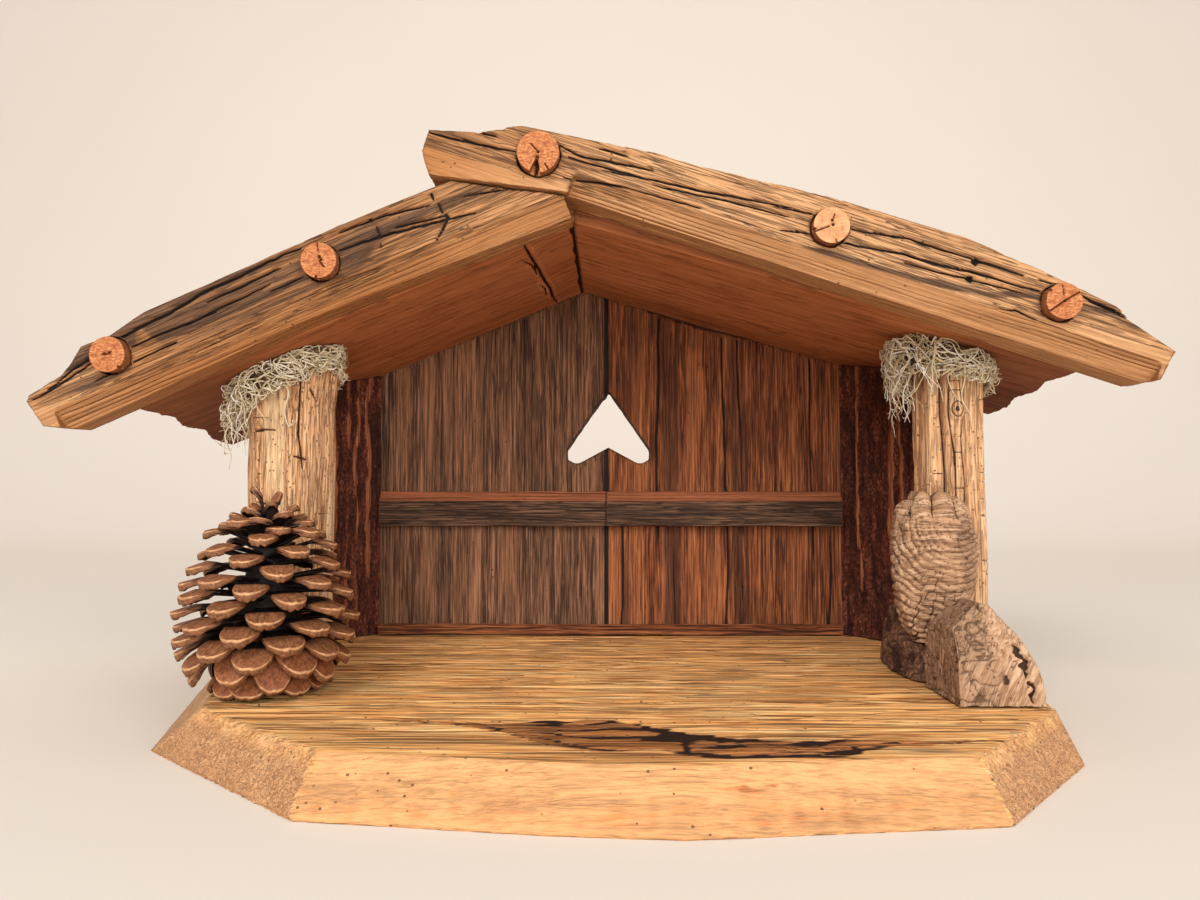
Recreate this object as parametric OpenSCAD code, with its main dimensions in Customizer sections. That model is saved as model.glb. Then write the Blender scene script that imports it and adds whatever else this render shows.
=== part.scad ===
// Rustic wooden nativity stable, about 360 mm wide: a bevelled base slab, a back wall of two boards
// with an upside-down heart window, splayed side walls, two log posts, a pitched roof of two boards
// behind two weathered front beams with branch-slice pegs, and a pine cone and driftwood in front.
// Millimetres. The origin is in the base's underside, X to the right, Y to the back, Z up.

/* [Base slab] */
// Width of the slab along its back edge
base_w = 338; // [320:1:360]
// Depth of the slab, back edge to the front of its bulge
base_d = 223; // [215:1:235]
// Thickness of the slab
base_t = 14; // [10:0.5:20]
// How far the slab reaches behind the back wall
base_back_reach = 10; // [4:1:20]
// Run of the bevel along the front
bevel_front = 8.5; // [4:0.5:12]
// Run of the bevels across the two front corners
bevel_corner = 8; // [3:0.5:10]
// Run of the broad bevel along the left side
bevel_left = 15; // [6:0.5:16]
// Run of the bevel along the right side
bevel_right = 5; // [2:0.5:6]

/* [Roof] */
// Height of the ridge, on the underside of the roof boards
ridge_z = 165.5; // [160:0.5:175]
// Sideways place of the ridge
ridge_x = -9; // [-14:1:-4]
// Slope of the left roof board, degrees
slope_left = 22.5; // [20:0.5:23]
// Slope of the right roof board, degrees
slope_right = 16.2; // [15:0.2:17]
// Thickness of the roof boards
roof_t = 18; // [14:0.5:20]
// Depth of the roof boards, front to back
roof_d = 118; // [116:1:126]
// Length of the left roof board down its slope, at the front
roof_len_left = 159; // [152:1:166]
// Length of the right roof board down its slope, at the front
roof_len_right = 175; // [168:1:180]
// How much further the eaves reach at the back than at the front
eave_flare = 18; // [8:1:20]

/* [Front beams] */
// Length of the left beam from the ridge to its lower end
beam_len_left = 183; // [176:1:190]
// Length of the right beam from the ridge to its lower end
beam_len_right = 192; // [186:1:198]
// Height of both beams across the grain
beam_h = 26; // [24:0.5:30]
// Depth of the left beam, front to back
beam_d_left = 15; // [13:0.5:18]
// Depth of the right beam, front to back
beam_d_right = 17; // [15:0.5:20]
// Slope of the left beam, a little steeper than its roof board, degrees
beam_slope_left = 23; // [21:0.5:24]
// Slope of the right beam, a little steeper than its roof board, degrees
beam_slope_right = 18.5; // [17:0.5:19]
// Length of the right beam's tail, which laps over the left beam
beam_tail = 50; // [46:1:54]
// Height of the worn chamfer along the beams' lower front edges
beam_chamfer_h = 7; // [4:0.5:9]
// Depth of that chamfer
beam_chamfer_d = 5; // [3:0.5:8]
// How far the left beam's lower edge starts below the ridge
beam_drop = 2; // [0:0.5:3]
// How far the right beam's lower edge starts above the ridge
seat_rise = 4; // [3:0.5:6]
// Slope of the seat between the two beams, degrees
seat_slope = 7.5; // [6:0.5:9]

/* [Pegs] */
// Diameter of the four branch-slice pegs
peg_d = 11.6; // [9:0.2:13]
// Diameter of the larger peg at the ridge
peg_ridge_d = 13.6; // [11:0.2:14.5]
// How far a peg stands proud of its beam
peg_proud = 3; // [1:0.5:5]
// Depth of a peg's blind hole
peg_hole_d = 9; // [6:0.5:11]

/* [Back wall] */
// How far the back wall's face stands behind the roof's front edge
back_y = 102; // [99:1:104]
// Thickness of the back boards
back_t = 12; // [8:0.5:12]
// Left end of the back wall
back_left_x = -113; // [-116:1:-112]
// Right end of the back wall
back_right_x = 118; // [117:1:121]
// Joint between the two back boards
joint_x = 1; // [-4:1:6]
// Width of the heart window
heart_w = 37; // [28:0.5:42]
// Height of the heart window
heart_h = 32.5; // [26:0.5:36]
// Height of the heart's lobes above the slab
heart_z = 74.5; // [70:0.5:78]
// Radius of the heart's lobes
lobe_r = 4.5; // [3:0.5:6]
// Height of the rail across the back wall
rail_h = 15.5; // [10:0.5:18]
// Height of the rail's lower edge above the slab
rail_z = 47; // [40:0.5:52]
// Thickness of the left rail piece
rail_t_left = 5; // [3:0.5:7]
// Thickness of the right rail piece, slightly proud
rail_t_right = 6; // [3:0.5:8]
// Height of the low strip along the foot of the wall
strip_h = 4.6; // [3:0.2:8]
// Depth of that strip
strip_d = 4; // [2:0.5:6]

/* [Side walls] */
// Inner corner of the left side wall, at the back wall
side_left_x = -99; // [-100:1:-96]
// Inner corner of the right side wall, at the back wall
side_right_x = 104; // [102:1:105]
// Length of a side wall
side_len = 54; // [48:1:56]
// Thickness of a side wall
side_t = 10; // [6:0.5:10]
// Angle by which the side walls splay, degrees
side_splay = 36; // [30:1:38]

/* [Posts] */
// Sideways place of the left post
post_left_x = -113; // [-115:1:-108]
// Sideways place of the right post
post_right_x = 125; // [122:1:127]
// How far behind the roof's front edge the posts stand
post_set = 30; // [28:1:32]
// Mean radius of the left post
post_left_r = 15; // [12:0.5:15.5]
// Mean radius of the right post
post_right_r = 13; // [10:0.5:14]
// Spread of a lichen tuft beyond its post
tuft_spread = 4.5; // [3:0.5:6]
// Height of a lichen tuft below the roof
tuft_h = 19; // [12:0.5:26]

/* [Pine cone] */
// Radius of the pine cone over its widest scales
cone_r = 29; // [24:0.5:29]
// Height of the pine cone
cone_h = 63.5; // [50:0.5:70]
// Number of scales on the pine cone
cone_scales = 84; // [60:1:96]
// Thickness of a scale's tip
scale_t = 3; // [2:0.2:4]
// Width of a scale's tip
scale_w = 15; // [10:0.5:17]

/* [Driftwood] */
// Height of the burl that leans on the right post
burl_h = 50; // [40:1:54]
// Width of the burl
burl_w = 30; // [24:1:30]
// Depth of the burl
burl_d = 18; // [12:0.5:19]
// Height of the wedge block's peak
block_h = 29; // [20:0.5:34]
// Width of the wedge block
block_w = 25; // [18:0.5:26]
// Depth of the wedge block
block_d = 30; // [20:0.5:32]
// Height of the root foot
foot_h = 24; // [18:0.5:28]
// Height of the burl's seat on the root foot
foot_seat_h = 12; // [8:0.5:16]

/* [Screws and nails] */
// Diameter of the wood screws' shanks
screw_d = 3.4; // [2.5:0.1:4]
// Diameter of the wood screws' heads
screw_head_d = 7; // [6:0.1:8]
// Length of the wood screws
screw_len = 30; // [26:1:34]
// Diameter of the roof nails' shanks
nail_d = 2; // [1.4:0.1:2.6]
// Diameter of the roof nails' heads
nail_head_d = 4.6; // [3.6:0.2:6]
// How far a roof nail reaches below the roof board
nail_reach = 14; // [8:1:18]

/* [Hidden] */
$fn = 48;

// Clearance round a screw, nail or peg in its hole
fit_gap = 0.1;
// Clearance between soft or natural pieces and their neighbours
rest_gap = 0.3;
// Overrun of every cut
over = 40;

// The roof's front edge is the face that both beams lie against.
roof_front_y = -10;
back_front_y = roof_front_y + back_y;
back_mid_y = back_front_y + back_t / 2;
back_rear_y = back_front_y + back_t;
base_back_y = back_rear_y + base_back_reach;
base_mid_x = -5;
post_y = roof_front_y + post_set;

// Outline of the slab's underside, as shares of its width and depth, from the back left corner.
base_outline_shares = [[-0.5, 0], [-0.371, -0.704], [-0.192, -0.953], [-0.015, -0.990], [0.074, -1],
                       [0.290, -0.960], [0.408, -0.753], [0.5, 0]];
base_bevels = [bevel_left, bevel_corner, bevel_front, bevel_front, bevel_front, bevel_corner, bevel_right];
// Upright land below each bevel, as shares of the thickness: hand-cut bevels don't end level.
land_shares = [0.05, 0.10, 0.05, 0.09, 0.05, 0.10, 0.05];

// Outlines of the weathered beams: share of the length down the slope, share of the height.
beam_left_shares = [[0, 0], [0.25, 0.08], [0.50, 0.125], [0.84, 0.01], [0.950, 0], [0.985, 0.12],
                    [0.998, 0.50], [0.990, 0.56], [0.925, 0.63], [0.900, 0.73], [0.875, 0.87],
                    [0.825, 0.85], [0.755, 0.96], [0.54, 0.98], [0.385, 1.01], [0.265, 1],
                    [0.165, 0.98], [0, 1.02]];
beam_right_shares = [[0, 0], [0.985, 0], [1, 0.05], [1.010, 0.44], [0.946, 0.58], [0.897, 0.75],
                     [0.775, 0.88], [0.630, 0.98], [0.408, 0.95], [0.184, 0.81], [0.100, 0.81], [0, 0.71]];
// How many sides of each outline make the beam's lower edge
lower_sides_left = 4;
lower_sides_right = 1;
// The tail of the right beam: share of the tail's length, share of the height.
tail_shares = [[0.46, 0.61], [0.67, 0.39], [1, 0.205], [1, -0.08], [0.92, -0.30], [0.80, -0.60], [0, -0.60]];
// Places of the pegs: share of the beam's length or tail, share of the height.
peg_left_shares = [[0.830, 0.60], [0.434, 0.655]];
peg_right_shares = [[0.418, 0.57], [0.809, 0.565]];
peg_ridge_shares = [-0.28, 0.32];
// Wander of the ragged eaves: share of the roof's depth, share of the flare.
eave_shares = [[0, 0], [0.12, 0.20], [0.30, 0.22], [0.45, 0.52], [0.62, 0.55], [0.80, 0.90], [1, 1]];

// Steps of the post's outline and the pine cone's spiral
post_sides = 36;
golden_angle = 137.508;

// Height of the roof's underside at x.
function under_z(x) =
    ridge_z - (x < ridge_x ? (ridge_x - x) * tan(slope_left) : (x - ridge_x) * tan(slope_right));

// An outline in X and Z, made solid from y0 backwards.
module upright(y0, depth) {
    translate([0, y0 + depth, 0])
        rotate([90, 0, 0])
            linear_extrude(depth) children();
}

// The outline of a wall that stands on the slab and ends under the roof.
module wall_outline(x0, x1) {
    ridge = x0 < ridge_x && x1 > ridge_x ? [[ridge_x, ridge_z]] : [];
    polygon(concat([[x0, base_t], [x1, base_t], [x1, under_z(x1)]], ridge, [[x0, under_z(x0)]]));
}

// Places children in the frame of a roof slope: X down the slope, Z out of the board's upper face.
module slope_frame(side, angle, rise) {
    translate([ridge_x, 0, ridge_z + rise])
        mirror([side < 0 ? 1 : 0, 0, 0])
            rotate([0, angle, 0]) children();
}

// A countersunk wood screw from the underside, or its hole when grown by a clearance.
module screw_solid(gap) {
    head_r = screw_head_d / 2 + gap;
    shank_r = screw_d / 2 + gap;
    sunk = screw_d / 7;
    start = gap > 0 ? -over : sunk;
    flare = head_r - shank_r;
    rotate_extrude()
        polygon([[0, start], [head_r, start], [head_r, sunk + gap], [shank_r, sunk + gap + flare],
                 [shank_r, screw_len + gap], [0, screw_len + gap]]);
}

// Middle of a side wall's foot.
function side_mid(side_x, side) =
    [side_x + side * (sin(side_splay) * side_len / 2 + cos(side_splay) * side_t / 2),
     back_front_y - cos(side_splay) * side_len / 2 + sin(side_splay) * side_t / 2];
// A place in the middle of a back board's foot, at a share of the way from the joint to its far end.
function board_mid(far_x, share) = [joint_x + (far_x - joint_x) * share, back_mid_y];
// Where the screws rise through the slab: posts, side walls and back boards.
screw_places = [[post_left_x, post_y], [post_right_x, post_y],
                side_mid(side_left_x, -1), side_mid(side_right_x, 1),
                board_mid(back_left_x, 0.75), board_mid(back_left_x, 0.25),
                board_mid(back_right_x, 0.25), board_mid(back_right_x, 0.75)];

module screws(gap) {
    for (p = screw_places) translate([p[0], p[1], 0]) screw_solid(gap);
}

// A flat-headed nail driven square to the roof board, or its hole when grown by a clearance.
module nail_solid(gap) {
    head_t = nail_d / 2;
    translate([0, 0, -nail_reach - gap])
        cylinder(d = nail_d + 2 * gap, h = nail_reach + roof_t + head_t + gap);
    if (gap == 0)
        translate([0, 0, roof_t])
            cylinder(d = nail_head_d, h = head_t);
}

// Nails of one side: one into the post, two into the back board.
module side_nails(side, angle, post_x, wall_x, gap) {
    down = 1 / cos(angle);
    post_u = abs(post_x - ridge_x) * down;
    wall_u = abs(wall_x - ridge_x) * down;
    for (p = [[post_u, post_y], [wall_u * 0.35, back_mid_y], [wall_u * 0.8, back_mid_y]])
        slope_frame(side, angle, 0)
            translate([p[0], p[1], 0]) nail_solid(gap);
}

module nails(gap) {
    side_nails(-1, slope_left, post_left_x, back_left_x, gap);
    side_nails(1, slope_right, post_right_x, back_right_x, gap);
}

// Cuts the slab along one edge of its outline with a plane that leans inwards by run at its top,
// and leaves a narrow upright land at the foot.
module bevel_cut(p, q, run, land) {
    translate([p[0], p[1], land])
        rotate([0, 0, atan2(q[1] - p[1], q[0] - p[0])])
            rotate([-atan(run / (base_t - land)), 0, 0])
                translate([-over, -over, -over])
                    cube([norm(q - p) + 2 * over, over, 3 * over]);
}

module base_board() {
    outline = [for (s = base_outline_shares) [base_mid_x + s[0] * base_w, base_back_y + s[1] * base_d]];
    color("peru")
        difference() {
            linear_extrude(base_t) polygon(outline);
            for (i = [0:len(base_bevels) - 1])
                bevel_cut(outline[i], outline[i + 1], base_bevels[i], land_shares[i] * base_t);
            screws(fit_gap);
        }
}

// An upside-down heart: apex at the top, two round lobes below, a notch between them.
module heart() {
    mid_x = joint_x + lobe_r / 5;
    low_z = base_t + heart_z;
    half = heart_w / 2 - lobe_r;
    notch_z = low_z + lobe_r * 1.55;
    side_angle = atan2(heart_h - lobe_r, half) + 90;
    notch_angle = 360 - atan2(half, notch_z - low_z);
    arc = [for (i = [0:8]) side_angle + (notch_angle - side_angle) * i / 8];
    left = [for (a = arc) [mid_x - half + lobe_r * cos(a), low_z + lobe_r + lobe_r * sin(a)]];
    right = [for (i = [8:-1:0]) [mid_x + half - lobe_r * cos(arc[i]), low_z + lobe_r + lobe_r * sin(arc[i])]];
    polygon(concat([[mid_x, low_z + heart_h]], left, [[mid_x, notch_z]], right));
}

// One board of the back wall, with its half of the heart window.
module back_board(x0, x1) {
    difference() {
        upright(back_front_y, back_t) wall_outline(x0, x1);
        upright(back_front_y - over, 2 * over) heart();
        screws(fit_gap);
        nails(fit_gap);
    }
}

module back_board_left() {
    color("rosybrown") back_board(back_left_x, joint_x);
}

module back_board_right() {
    // The top edge dips away from the roof board beside the ridge.
    dip_shares = [0.10, 0.35, 0.62];
    dip = back_t / 6;
    xs = [for (s = dip_shares) joint_x + (back_right_x - joint_x) * s];
    color("sienna")
        difference() {
            back_board(joint_x, back_right_x);
            upright(back_front_y - over, 2 * over)
                polygon([[xs[0], under_z(xs[0])], [xs[1], under_z(xs[1]) - dip], [xs[2], under_z(xs[2])],
                         [xs[2], ridge_z], [xs[0], ridge_z + dip]]);
        }
}

// A bark-faced plank from the back wall's corner, splayed outwards and cut under the roof.
module side_wall(side, side_x) {
    far_x = side_x + side * (side_len + side_t);
    difference() {
        intersection() {
            translate([side_x, back_front_y, 0])
                mirror([side < 0 ? 1 : 0, 0, 0])
                    rotate([0, 0, side_splay])
                        translate([0, -side_len, 0])
                            cube([side_t, side_len, ridge_z]);
            upright(back_front_y - 2 * over, 2 * over)
                wall_outline(min(side_x, far_x), max(side_x, far_x));
        }
        screws(fit_gap);
    }
}

module side_wall_left() {
    color("saddlebrown") side_wall(-1, side_left_x);
}

module side_wall_right() {
    color("saddlebrown") side_wall(1, side_right_x);
}

// A rail piece on the back wall's face, with a worn slope along its top.
module rail(x0, x1, thick) {
    slope = rail_h * 0.28;
    translate([x0, 0, base_t + rail_z])
        rotate([90, 0, 90])
            linear_extrude(x1 - x0)
                polygon([[back_front_y, 0], [back_front_y, rail_h], [back_front_y - thick / 3, rail_h],
                         [back_front_y - thick, rail_h - slope], [back_front_y - thick, 0]]);
}

module back_rail_left() {
    color("dimgray") rail(side_left_x + rest_gap, joint_x, rail_t_left);
}

module back_rail_right() {
    color("dimgray") rail(joint_x, side_right_x - rest_gap, rail_t_right);
}

module back_skirting() {
    color("sienna")
        translate([side_left_x + rest_gap, back_front_y - strip_d, base_t])
            cube([side_right_x - side_left_x - 2 * rest_gap, strip_d, strip_h]);
}

// A roof board, mitred in the upright plane of the ridge, with a ragged eave that flares to the back.
module roof_panel(side, angle, len) {
    mitre = roof_t * tan(angle);
    reach = len + eave_flare;
    eave = [for (s = eave_shares) [len + s[1] * eave_flare, roof_front_y + s[0] * roof_d]];
    ridge = [[-2 * mitre, roof_front_y]];
    ridge_back = [[-2 * mitre, roof_front_y + roof_d]];
    difference() {
        slope_frame(side, angle, 0)
            intersection() {
                upright(roof_front_y, roof_d)
                    polygon([[0, 0], [reach, 0], [reach, roof_t], [-mitre, roof_t]]);
                linear_extrude(roof_t) polygon(concat(ridge, eave, ridge_back));
            }
        nails(fit_gap);
    }
}

module roof_panel_left() {
    color("brown") roof_panel(-1, slope_left, roof_len_left);
}

module roof_panel_right() {
    color("brown") roof_panel(1, slope_right, roof_len_right);
}

// The sloping seat on which the right beam's tail rests, and the left beam's tip under it.
seat_z = ridge_z + seat_rise;
seat_far_x = ridge_x - 2 * beam_tail;
seat_far_z = seat_z + 2 * beam_tail * tan(seat_slope);

module seat_outline(up) {
    polygon([[ridge_x, seat_z], [seat_far_x, seat_far_z],
             [seat_far_x, seat_far_z + up], [ridge_x, seat_z + up]]);
}

// A blind hole for a peg in a beam's front face.
module peg_hole(u, v, d, front_y) {
    translate([u, front_y + peg_hole_d + fit_gap, v])
        rotate([90, 0, 0])
            cylinder(d = d + 2 * fit_gap, h = peg_hole_d + over);
}

// The worn chamfer along a beam's lower front edge, one straight stretch of the outline at a time.
module chamfer_cut(p, q, front_y) {
    translate([p[0], front_y, p[1]])
        rotate([0, -atan2(q[1] - p[1], q[0] - p[0]), 0])
            translate([-beam_chamfer_d / 4, 0, beam_chamfer_h])
                rotate([atan(beam_chamfer_d / beam_chamfer_h), 0, 0])
                    translate([0, -over, -over])
                        cube([norm(q - p) + beam_chamfer_d / 2, over, over]);
}

beam_left_front = roof_front_y - beam_d_left;
beam_right_front = roof_front_y - beam_d_right;

module roof_beam_left() {
    outline = [for (s = beam_left_shares) [s[0] * beam_len_left, s[1] * beam_h]];
    color("darkkhaki")
        difference() {
            slope_frame(-1, beam_slope_left, -beam_drop)
                difference() {
                    upright(beam_left_front, beam_d_left) polygon(outline);
                    for (i = [0:lower_sides_left - 1])
                        chamfer_cut(outline[i], outline[i + 1], beam_left_front);
                    for (s = peg_left_shares)
                        peg_hole(s[0] * beam_len_left, s[1] * beam_h, peg_d, beam_left_front);
                }
            upright(beam_left_front - over, beam_d_left + 2 * over) seat_outline(over);
            translate([ridge_x, beam_left_front - over, 0])
                cube([2 * over, beam_d_left + 2 * over, 2 * ridge_z]);
        }
}

module roof_beam_right() {
    run = [for (s = beam_right_shares) [s[0] * beam_len_right, s[1] * beam_h]];
    tail = [for (s = tail_shares) [-s[0] * beam_tail, s[1] * beam_h]];
    color("darkkhaki")
        difference() {
            slope_frame(1, beam_slope_right, seat_rise)
                difference() {
                    upright(beam_right_front, beam_d_right) polygon(concat(run, tail));
                    for (i = [0:lower_sides_right - 1]) chamfer_cut(run[i], run[i + 1], beam_right_front);
                    for (s = peg_right_shares)
                        peg_hole(s[0] * beam_len_right, s[1] * beam_h, peg_d, beam_right_front);
                    peg_hole(peg_ridge_shares[0] * beam_tail, peg_ridge_shares[1] * beam_h,
                             peg_ridge_d, beam_right_front);
                }
            upright(beam_right_front - over, beam_d_right + 2 * over) seat_outline(-over);
        }
}

// A slice of branch with one radial crack, seated in its hole in a beam.
module peg(side, angle, rise, u, v, d, front_y, crack_angle, crack_share) {
    slope_frame(side, angle, rise)
        translate([u, front_y - peg_proud, v])
            rotate([-90, 0, 0])
                difference() {
                    cylinder(d = d, h = peg_proud + peg_hole_d);
                    rotate([0, 0, crack_angle])
                        translate([0, 0, -peg_proud])
                            linear_extrude(2 * peg_proud)
                                polygon([[d * 0.12, 0], [d, -d * crack_share], [d, d * crack_share]]);
                }
}

module left_peg(i, crack_angle) {
    s = peg_left_shares[i];
    peg(-1, beam_slope_left, -beam_drop, s[0] * beam_len_left, s[1] * beam_h, peg_d, beam_left_front,
        crack_angle, 0.05);
}

module right_peg(i, crack_angle) {
    s = peg_right_shares[i];
    peg(1, beam_slope_right, seat_rise, s[0] * beam_len_right, s[1] * beam_h, peg_d, beam_right_front,
        crack_angle, 0.05);
}

module peg_left_lower() {
    color("chocolate") left_peg(0, 110);
}

module peg_left_upper() {
    color("chocolate") left_peg(1, 60);
}

module peg_ridge() {
    color("chocolate")
        peg(1, beam_slope_right, seat_rise, peg_ridge_shares[0] * beam_tail, peg_ridge_shares[1] * beam_h,
            peg_ridge_d, beam_right_front, 80, 0.3);
}

module peg_right_upper() {
    color("chocolate") right_peg(0, 150);
}

module peg_right_lower() {
    color("chocolate") right_peg(1, 200);
}

// A log that rises from the slab to the roof. Rings of points follow a radius that changes
// with height and angle, and the last ring lies in the plane of the roof's underside.
module log_post(cx, cy, radius, ring_shares, lobes, crack_angle, crack_depth) {
    steps = [for (i = [0:post_sides - 1]) i * 360 / post_sides];
    function bump(a) = [for (l = lobes) l[0] * sin(l[1] * a + l[2])];
    function total(v, i = 0) = i < len(v) ? v[i] + total(v, i + 1) : 0;
    function groove(a) = crack_depth * max(0, 1 - abs(a - crack_angle) / (360 / post_sides));
    function at(a, wide) = let (r = radius * wide * (1 + total(bump(a))) - groove(a))
        [cx + r * cos(a), cy + r * sin(a)];
    points = [for (s = ring_shares) for (a = steps)
        let (p = at(a, s[1])) [p[0], p[1], base_t + s[0] * (under_z(p[0]) - base_t)]];
    rings = len(ring_shares);
    last = (rings - 1) * post_sides;
    sides = [for (k = [0:rings - 2]) for (i = [0:post_sides - 1])
        let (a = k * post_sides + i, b = k * post_sides + (i + 1) % post_sides)
            each [[a, a + post_sides, b], [b, a + post_sides, b + post_sides]]];
    polyhedron(points, concat([[for (i = [0:post_sides - 1]) i]], sides,
                              [[for (i = [post_sides - 1:-1:0]) last + i]]), convexity = 6);
}

// Height share and width share of the rings of each post
post_left_shares = [[0, 1.02], [0.12, 0.97], [0.3, 0.95], [0.5, 0.97], [0.68, 1], [0.8, 0.98],
                    [0.9, 1.06], [1, 1.08]];
post_right_shares = [[0, 1.06], [0.15, 1], [0.35, 1.02], [0.55, 1], [0.75, 0.98], [0.88, 1], [1, 1.02]];
// Lobes of each post's outline: share of the radius, count, turn in degrees
lobe_left_shares = [[0.03, 2, 40], [0.025, 5, 10], [0.015, 9, 70]];
lobe_right_shares = [[0.03, 3, 80], [0.045, 7, 20], [0.02, 11, 150]];
// Shares of a post's radius: how far its lobes reach in front, and what is kept clear round its foot
post_reach_share = 1.11;
post_clear_share = 1.14;

module post_left() {
    color("burlywood")
        difference() {
            log_post(post_left_x, post_y, post_left_r, post_left_shares, lobe_left_shares,
                     260, post_left_r / 5);
            screws(fit_gap);
            nails(fit_gap);
        }
}

module post_right() {
    color("burlywood")
        difference() {
            log_post(post_right_x, post_y, post_right_r, post_right_shares, lobe_right_shares,
                     230, post_right_r / 12);
            screws(fit_gap);
            nails(fit_gap);
        }
}

// A tuft of lichen that rings the head of a post and presses up under the roof.
module lichen(cx, radius, widest_share) {
    inner = radius * widest_share + rest_gap;
    outer = radius + tuft_spread;
    high_z = under_z(cx) + outer;
    low_z = under_z(cx) - tuft_h;
    color("gainsboro")
        intersection() {
            translate([cx, post_y, 0])
                rotate_extrude()
                    polygon([[inner, low_z + tuft_h * 0.1], [inner + tuft_spread * 0.25, low_z],
                             [outer, low_z + tuft_h * 0.25],
                             [outer + tuft_spread * 0.2, low_z + tuft_h * 0.6],
                             [outer, high_z], [inner, high_z]]);
            upright(roof_front_y, 2 * over)
                translate([0, -rest_gap]) wall_outline(cx - 2 * outer, cx + 2 * outer);
        }
}

module lichen_left() {
    lichen(post_left_x, post_left_r, 1.15);
}

module lichen_right() {
    lichen(post_right_x, post_right_r, 1.12);
}

// Place of the pine cone in front of the left post
cone_x = post_left_x + post_left_r * 2 / 3;
cone_y = post_y - post_left_r * post_reach_share - cone_r - 3 * rest_gap;

// Radius of the cone over its scales at a share of its height: a full foot that draws in to a round tip.
function cone_outer(t) =
    cone_r * (t < 0.3 ? 0.84 + 0.16 * sin(300 * t) : pow(cos(90 * (t - 0.3) / 0.72), 0.75));

// One woody scale: a thin neck from the axis to a thick rounded tip.
module cone_scale(t, turn) {
    out = max(cone_outer(t) - scale_t * 0.6, scale_t * 1.5);
    lift = -12 + 85 * pow(t, 1.3);
    wide = scale_w * (1 - 0.5 * t);
    rotate([0, 0, turn])
        translate([0, 0, scale_t + t * (cone_h - 3.2 * scale_t)])
            rotate([0, -lift, 0])
                hull() {
                    translate([scale_t, -scale_t / 2, -scale_t / 4])
                        cube([scale_t, scale_t, scale_t / 2]);
                    translate([out * 0.62, -wide * 0.42, -scale_t * 0.2])
                        cube([scale_t, wide * 0.84, scale_t * 0.5]);
                    translate([out * 0.9, 0, scale_t * 0.1])
                        scale([0.5 * out / cone_r + 0.15, 1, 1])
                            cylinder(d = wide, h = scale_t * 0.55, center = true, $fn = 8);
                }
}

// Scales follow the golden angle, so each sits over the gap between the two below it.
module pine_cone() {
    core_shares = [[0.50, 0], [0.52, 0.25], [0.36, 0.6], [0.16, 0.92], [0, 1]];
    core = [for (s = core_shares) [s[0] * cone_r / 1.5, s[1] * cone_h]];
    color("sienna")
        intersection() {
            translate([cone_x, cone_y, base_t])
                union() {
                    rotate_extrude($fn = 24) polygon(concat([[0, 0]], core));
                    for (i = [0:cone_scales - 1])
                        cone_scale(pow(i / cone_scales, 0.86), i * golden_angle);
                }
            translate([cone_x, cone_y, base_t])
                cylinder(r = cone_r, h = cone_h, $fn = 64);
        }
}

// A solid of stacked rings round a leaning axis. Each row: height, half width, half depth, shift in X
// and shift in Y. The rings are rounded boxes whose edges ripple.
module lump(rows, sides, ripple_share, ripples) {
    function at(row, a) =
        let (soft = 1 / pow(pow(abs(cos(a)), 2.6) + pow(abs(sin(a)), 2.6), 1 / 2.6),
             r = soft * (1 + ripple_share * sin(ripples * a + 9 * row[0])))
        [row[3] + row[1] * r * cos(a), row[4] + row[2] * r * sin(a), row[0]];
    count = len(rows);
    points = [for (row = rows) for (i = [0:sides - 1]) at(row, i * 360 / sides)];
    faces = [for (k = [0:count - 2]) for (i = [0:sides - 1])
        let (a = k * sides + i, b = k * sides + (i + 1) % sides)
            each [[a, a + sides, b], [b, a + sides, b + sides]]];
    polyhedron(points, concat([[for (i = [0:sides - 1]) i]], faces,
                              [[for (i = [sides - 1:-1:0]) (count - 1) * sides + i]]), convexity = 6);
}

// The driftwood group stands in front of the right post.
post_front_y = post_y - post_right_r * post_reach_share;
burl_y = post_front_y - rest_gap - burl_d / 2 * 1.05;
burl_x = post_right_x - burl_w / 2;
// Height share, width share, depth share and sideways drift share of the burl
burl_shares = [[0, 0.36, 0.55, -0.06], [0.10, 0.62, 0.80, -0.05], [0.25, 0.84, 0.96, -0.02],
               [0.42, 0.96, 1, 0], [0.60, 1, 1, 0.02], [0.76, 0.93, 0.97, 0.01], [0.90, 0.80, 0.82, 0],
               [0.97, 0.62, 0.62, 0], [1, 0.44, 0.45, 0]];

module driftwood_burl() {
    color("tan")
        translate([burl_x, burl_y, base_t + foot_seat_h])
            lump([for (s = burl_shares) [s[0] * burl_h, s[1] * burl_w / 2 * 0.97, s[2] * burl_d / 2 * 0.97,
                                         s[3] * burl_w, 0]], 24, 0.025, 5);
}

// A split wedge of old wood with a sloping back and a peak near its right side
block_rise_shares = [[-0.5, 0], [0.5, 0], [0.48, 0.3], [0.30, 0.68], [0.06, 0.97], [-0.10, 1], [-0.34, 0.82],
                     [-0.46, 0.74], [-0.5, 0.3]];
block_side_shares = [[-0.5, 0], [0.5, 0], [0.5, 0.55], [0.3, 1], [-0.1, 1], [-0.44, 0.45]];
block_x = post_right_x - block_w * 0.42;
block_y = burl_y - burl_d / 2 - block_d * 0.60;

module driftwood_block() {
    color("tan")
        intersection() {
            translate([block_x, 0, base_t])
                upright(block_y - block_d / 2, block_d)
                    polygon([for (s = block_rise_shares) [s[0] * block_w, s[1] * block_h]]);
            translate([block_x - block_w / 2, block_y, base_t])
                rotate([90, 0, 90])
                    linear_extrude(block_w)
                        polygon([for (s = block_side_shares) [s[0] * block_d, s[1] * block_h]]);
        }
}

// A dark root that hugs the foot of the right post. Its front is flat on top and carries the burl.
foot_w = burl_w * 0.7;
foot_d = post_set * 1.75;
foot_x = post_right_x - burl_w / 2;
foot_y = post_y - foot_d * 0.17;
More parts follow.
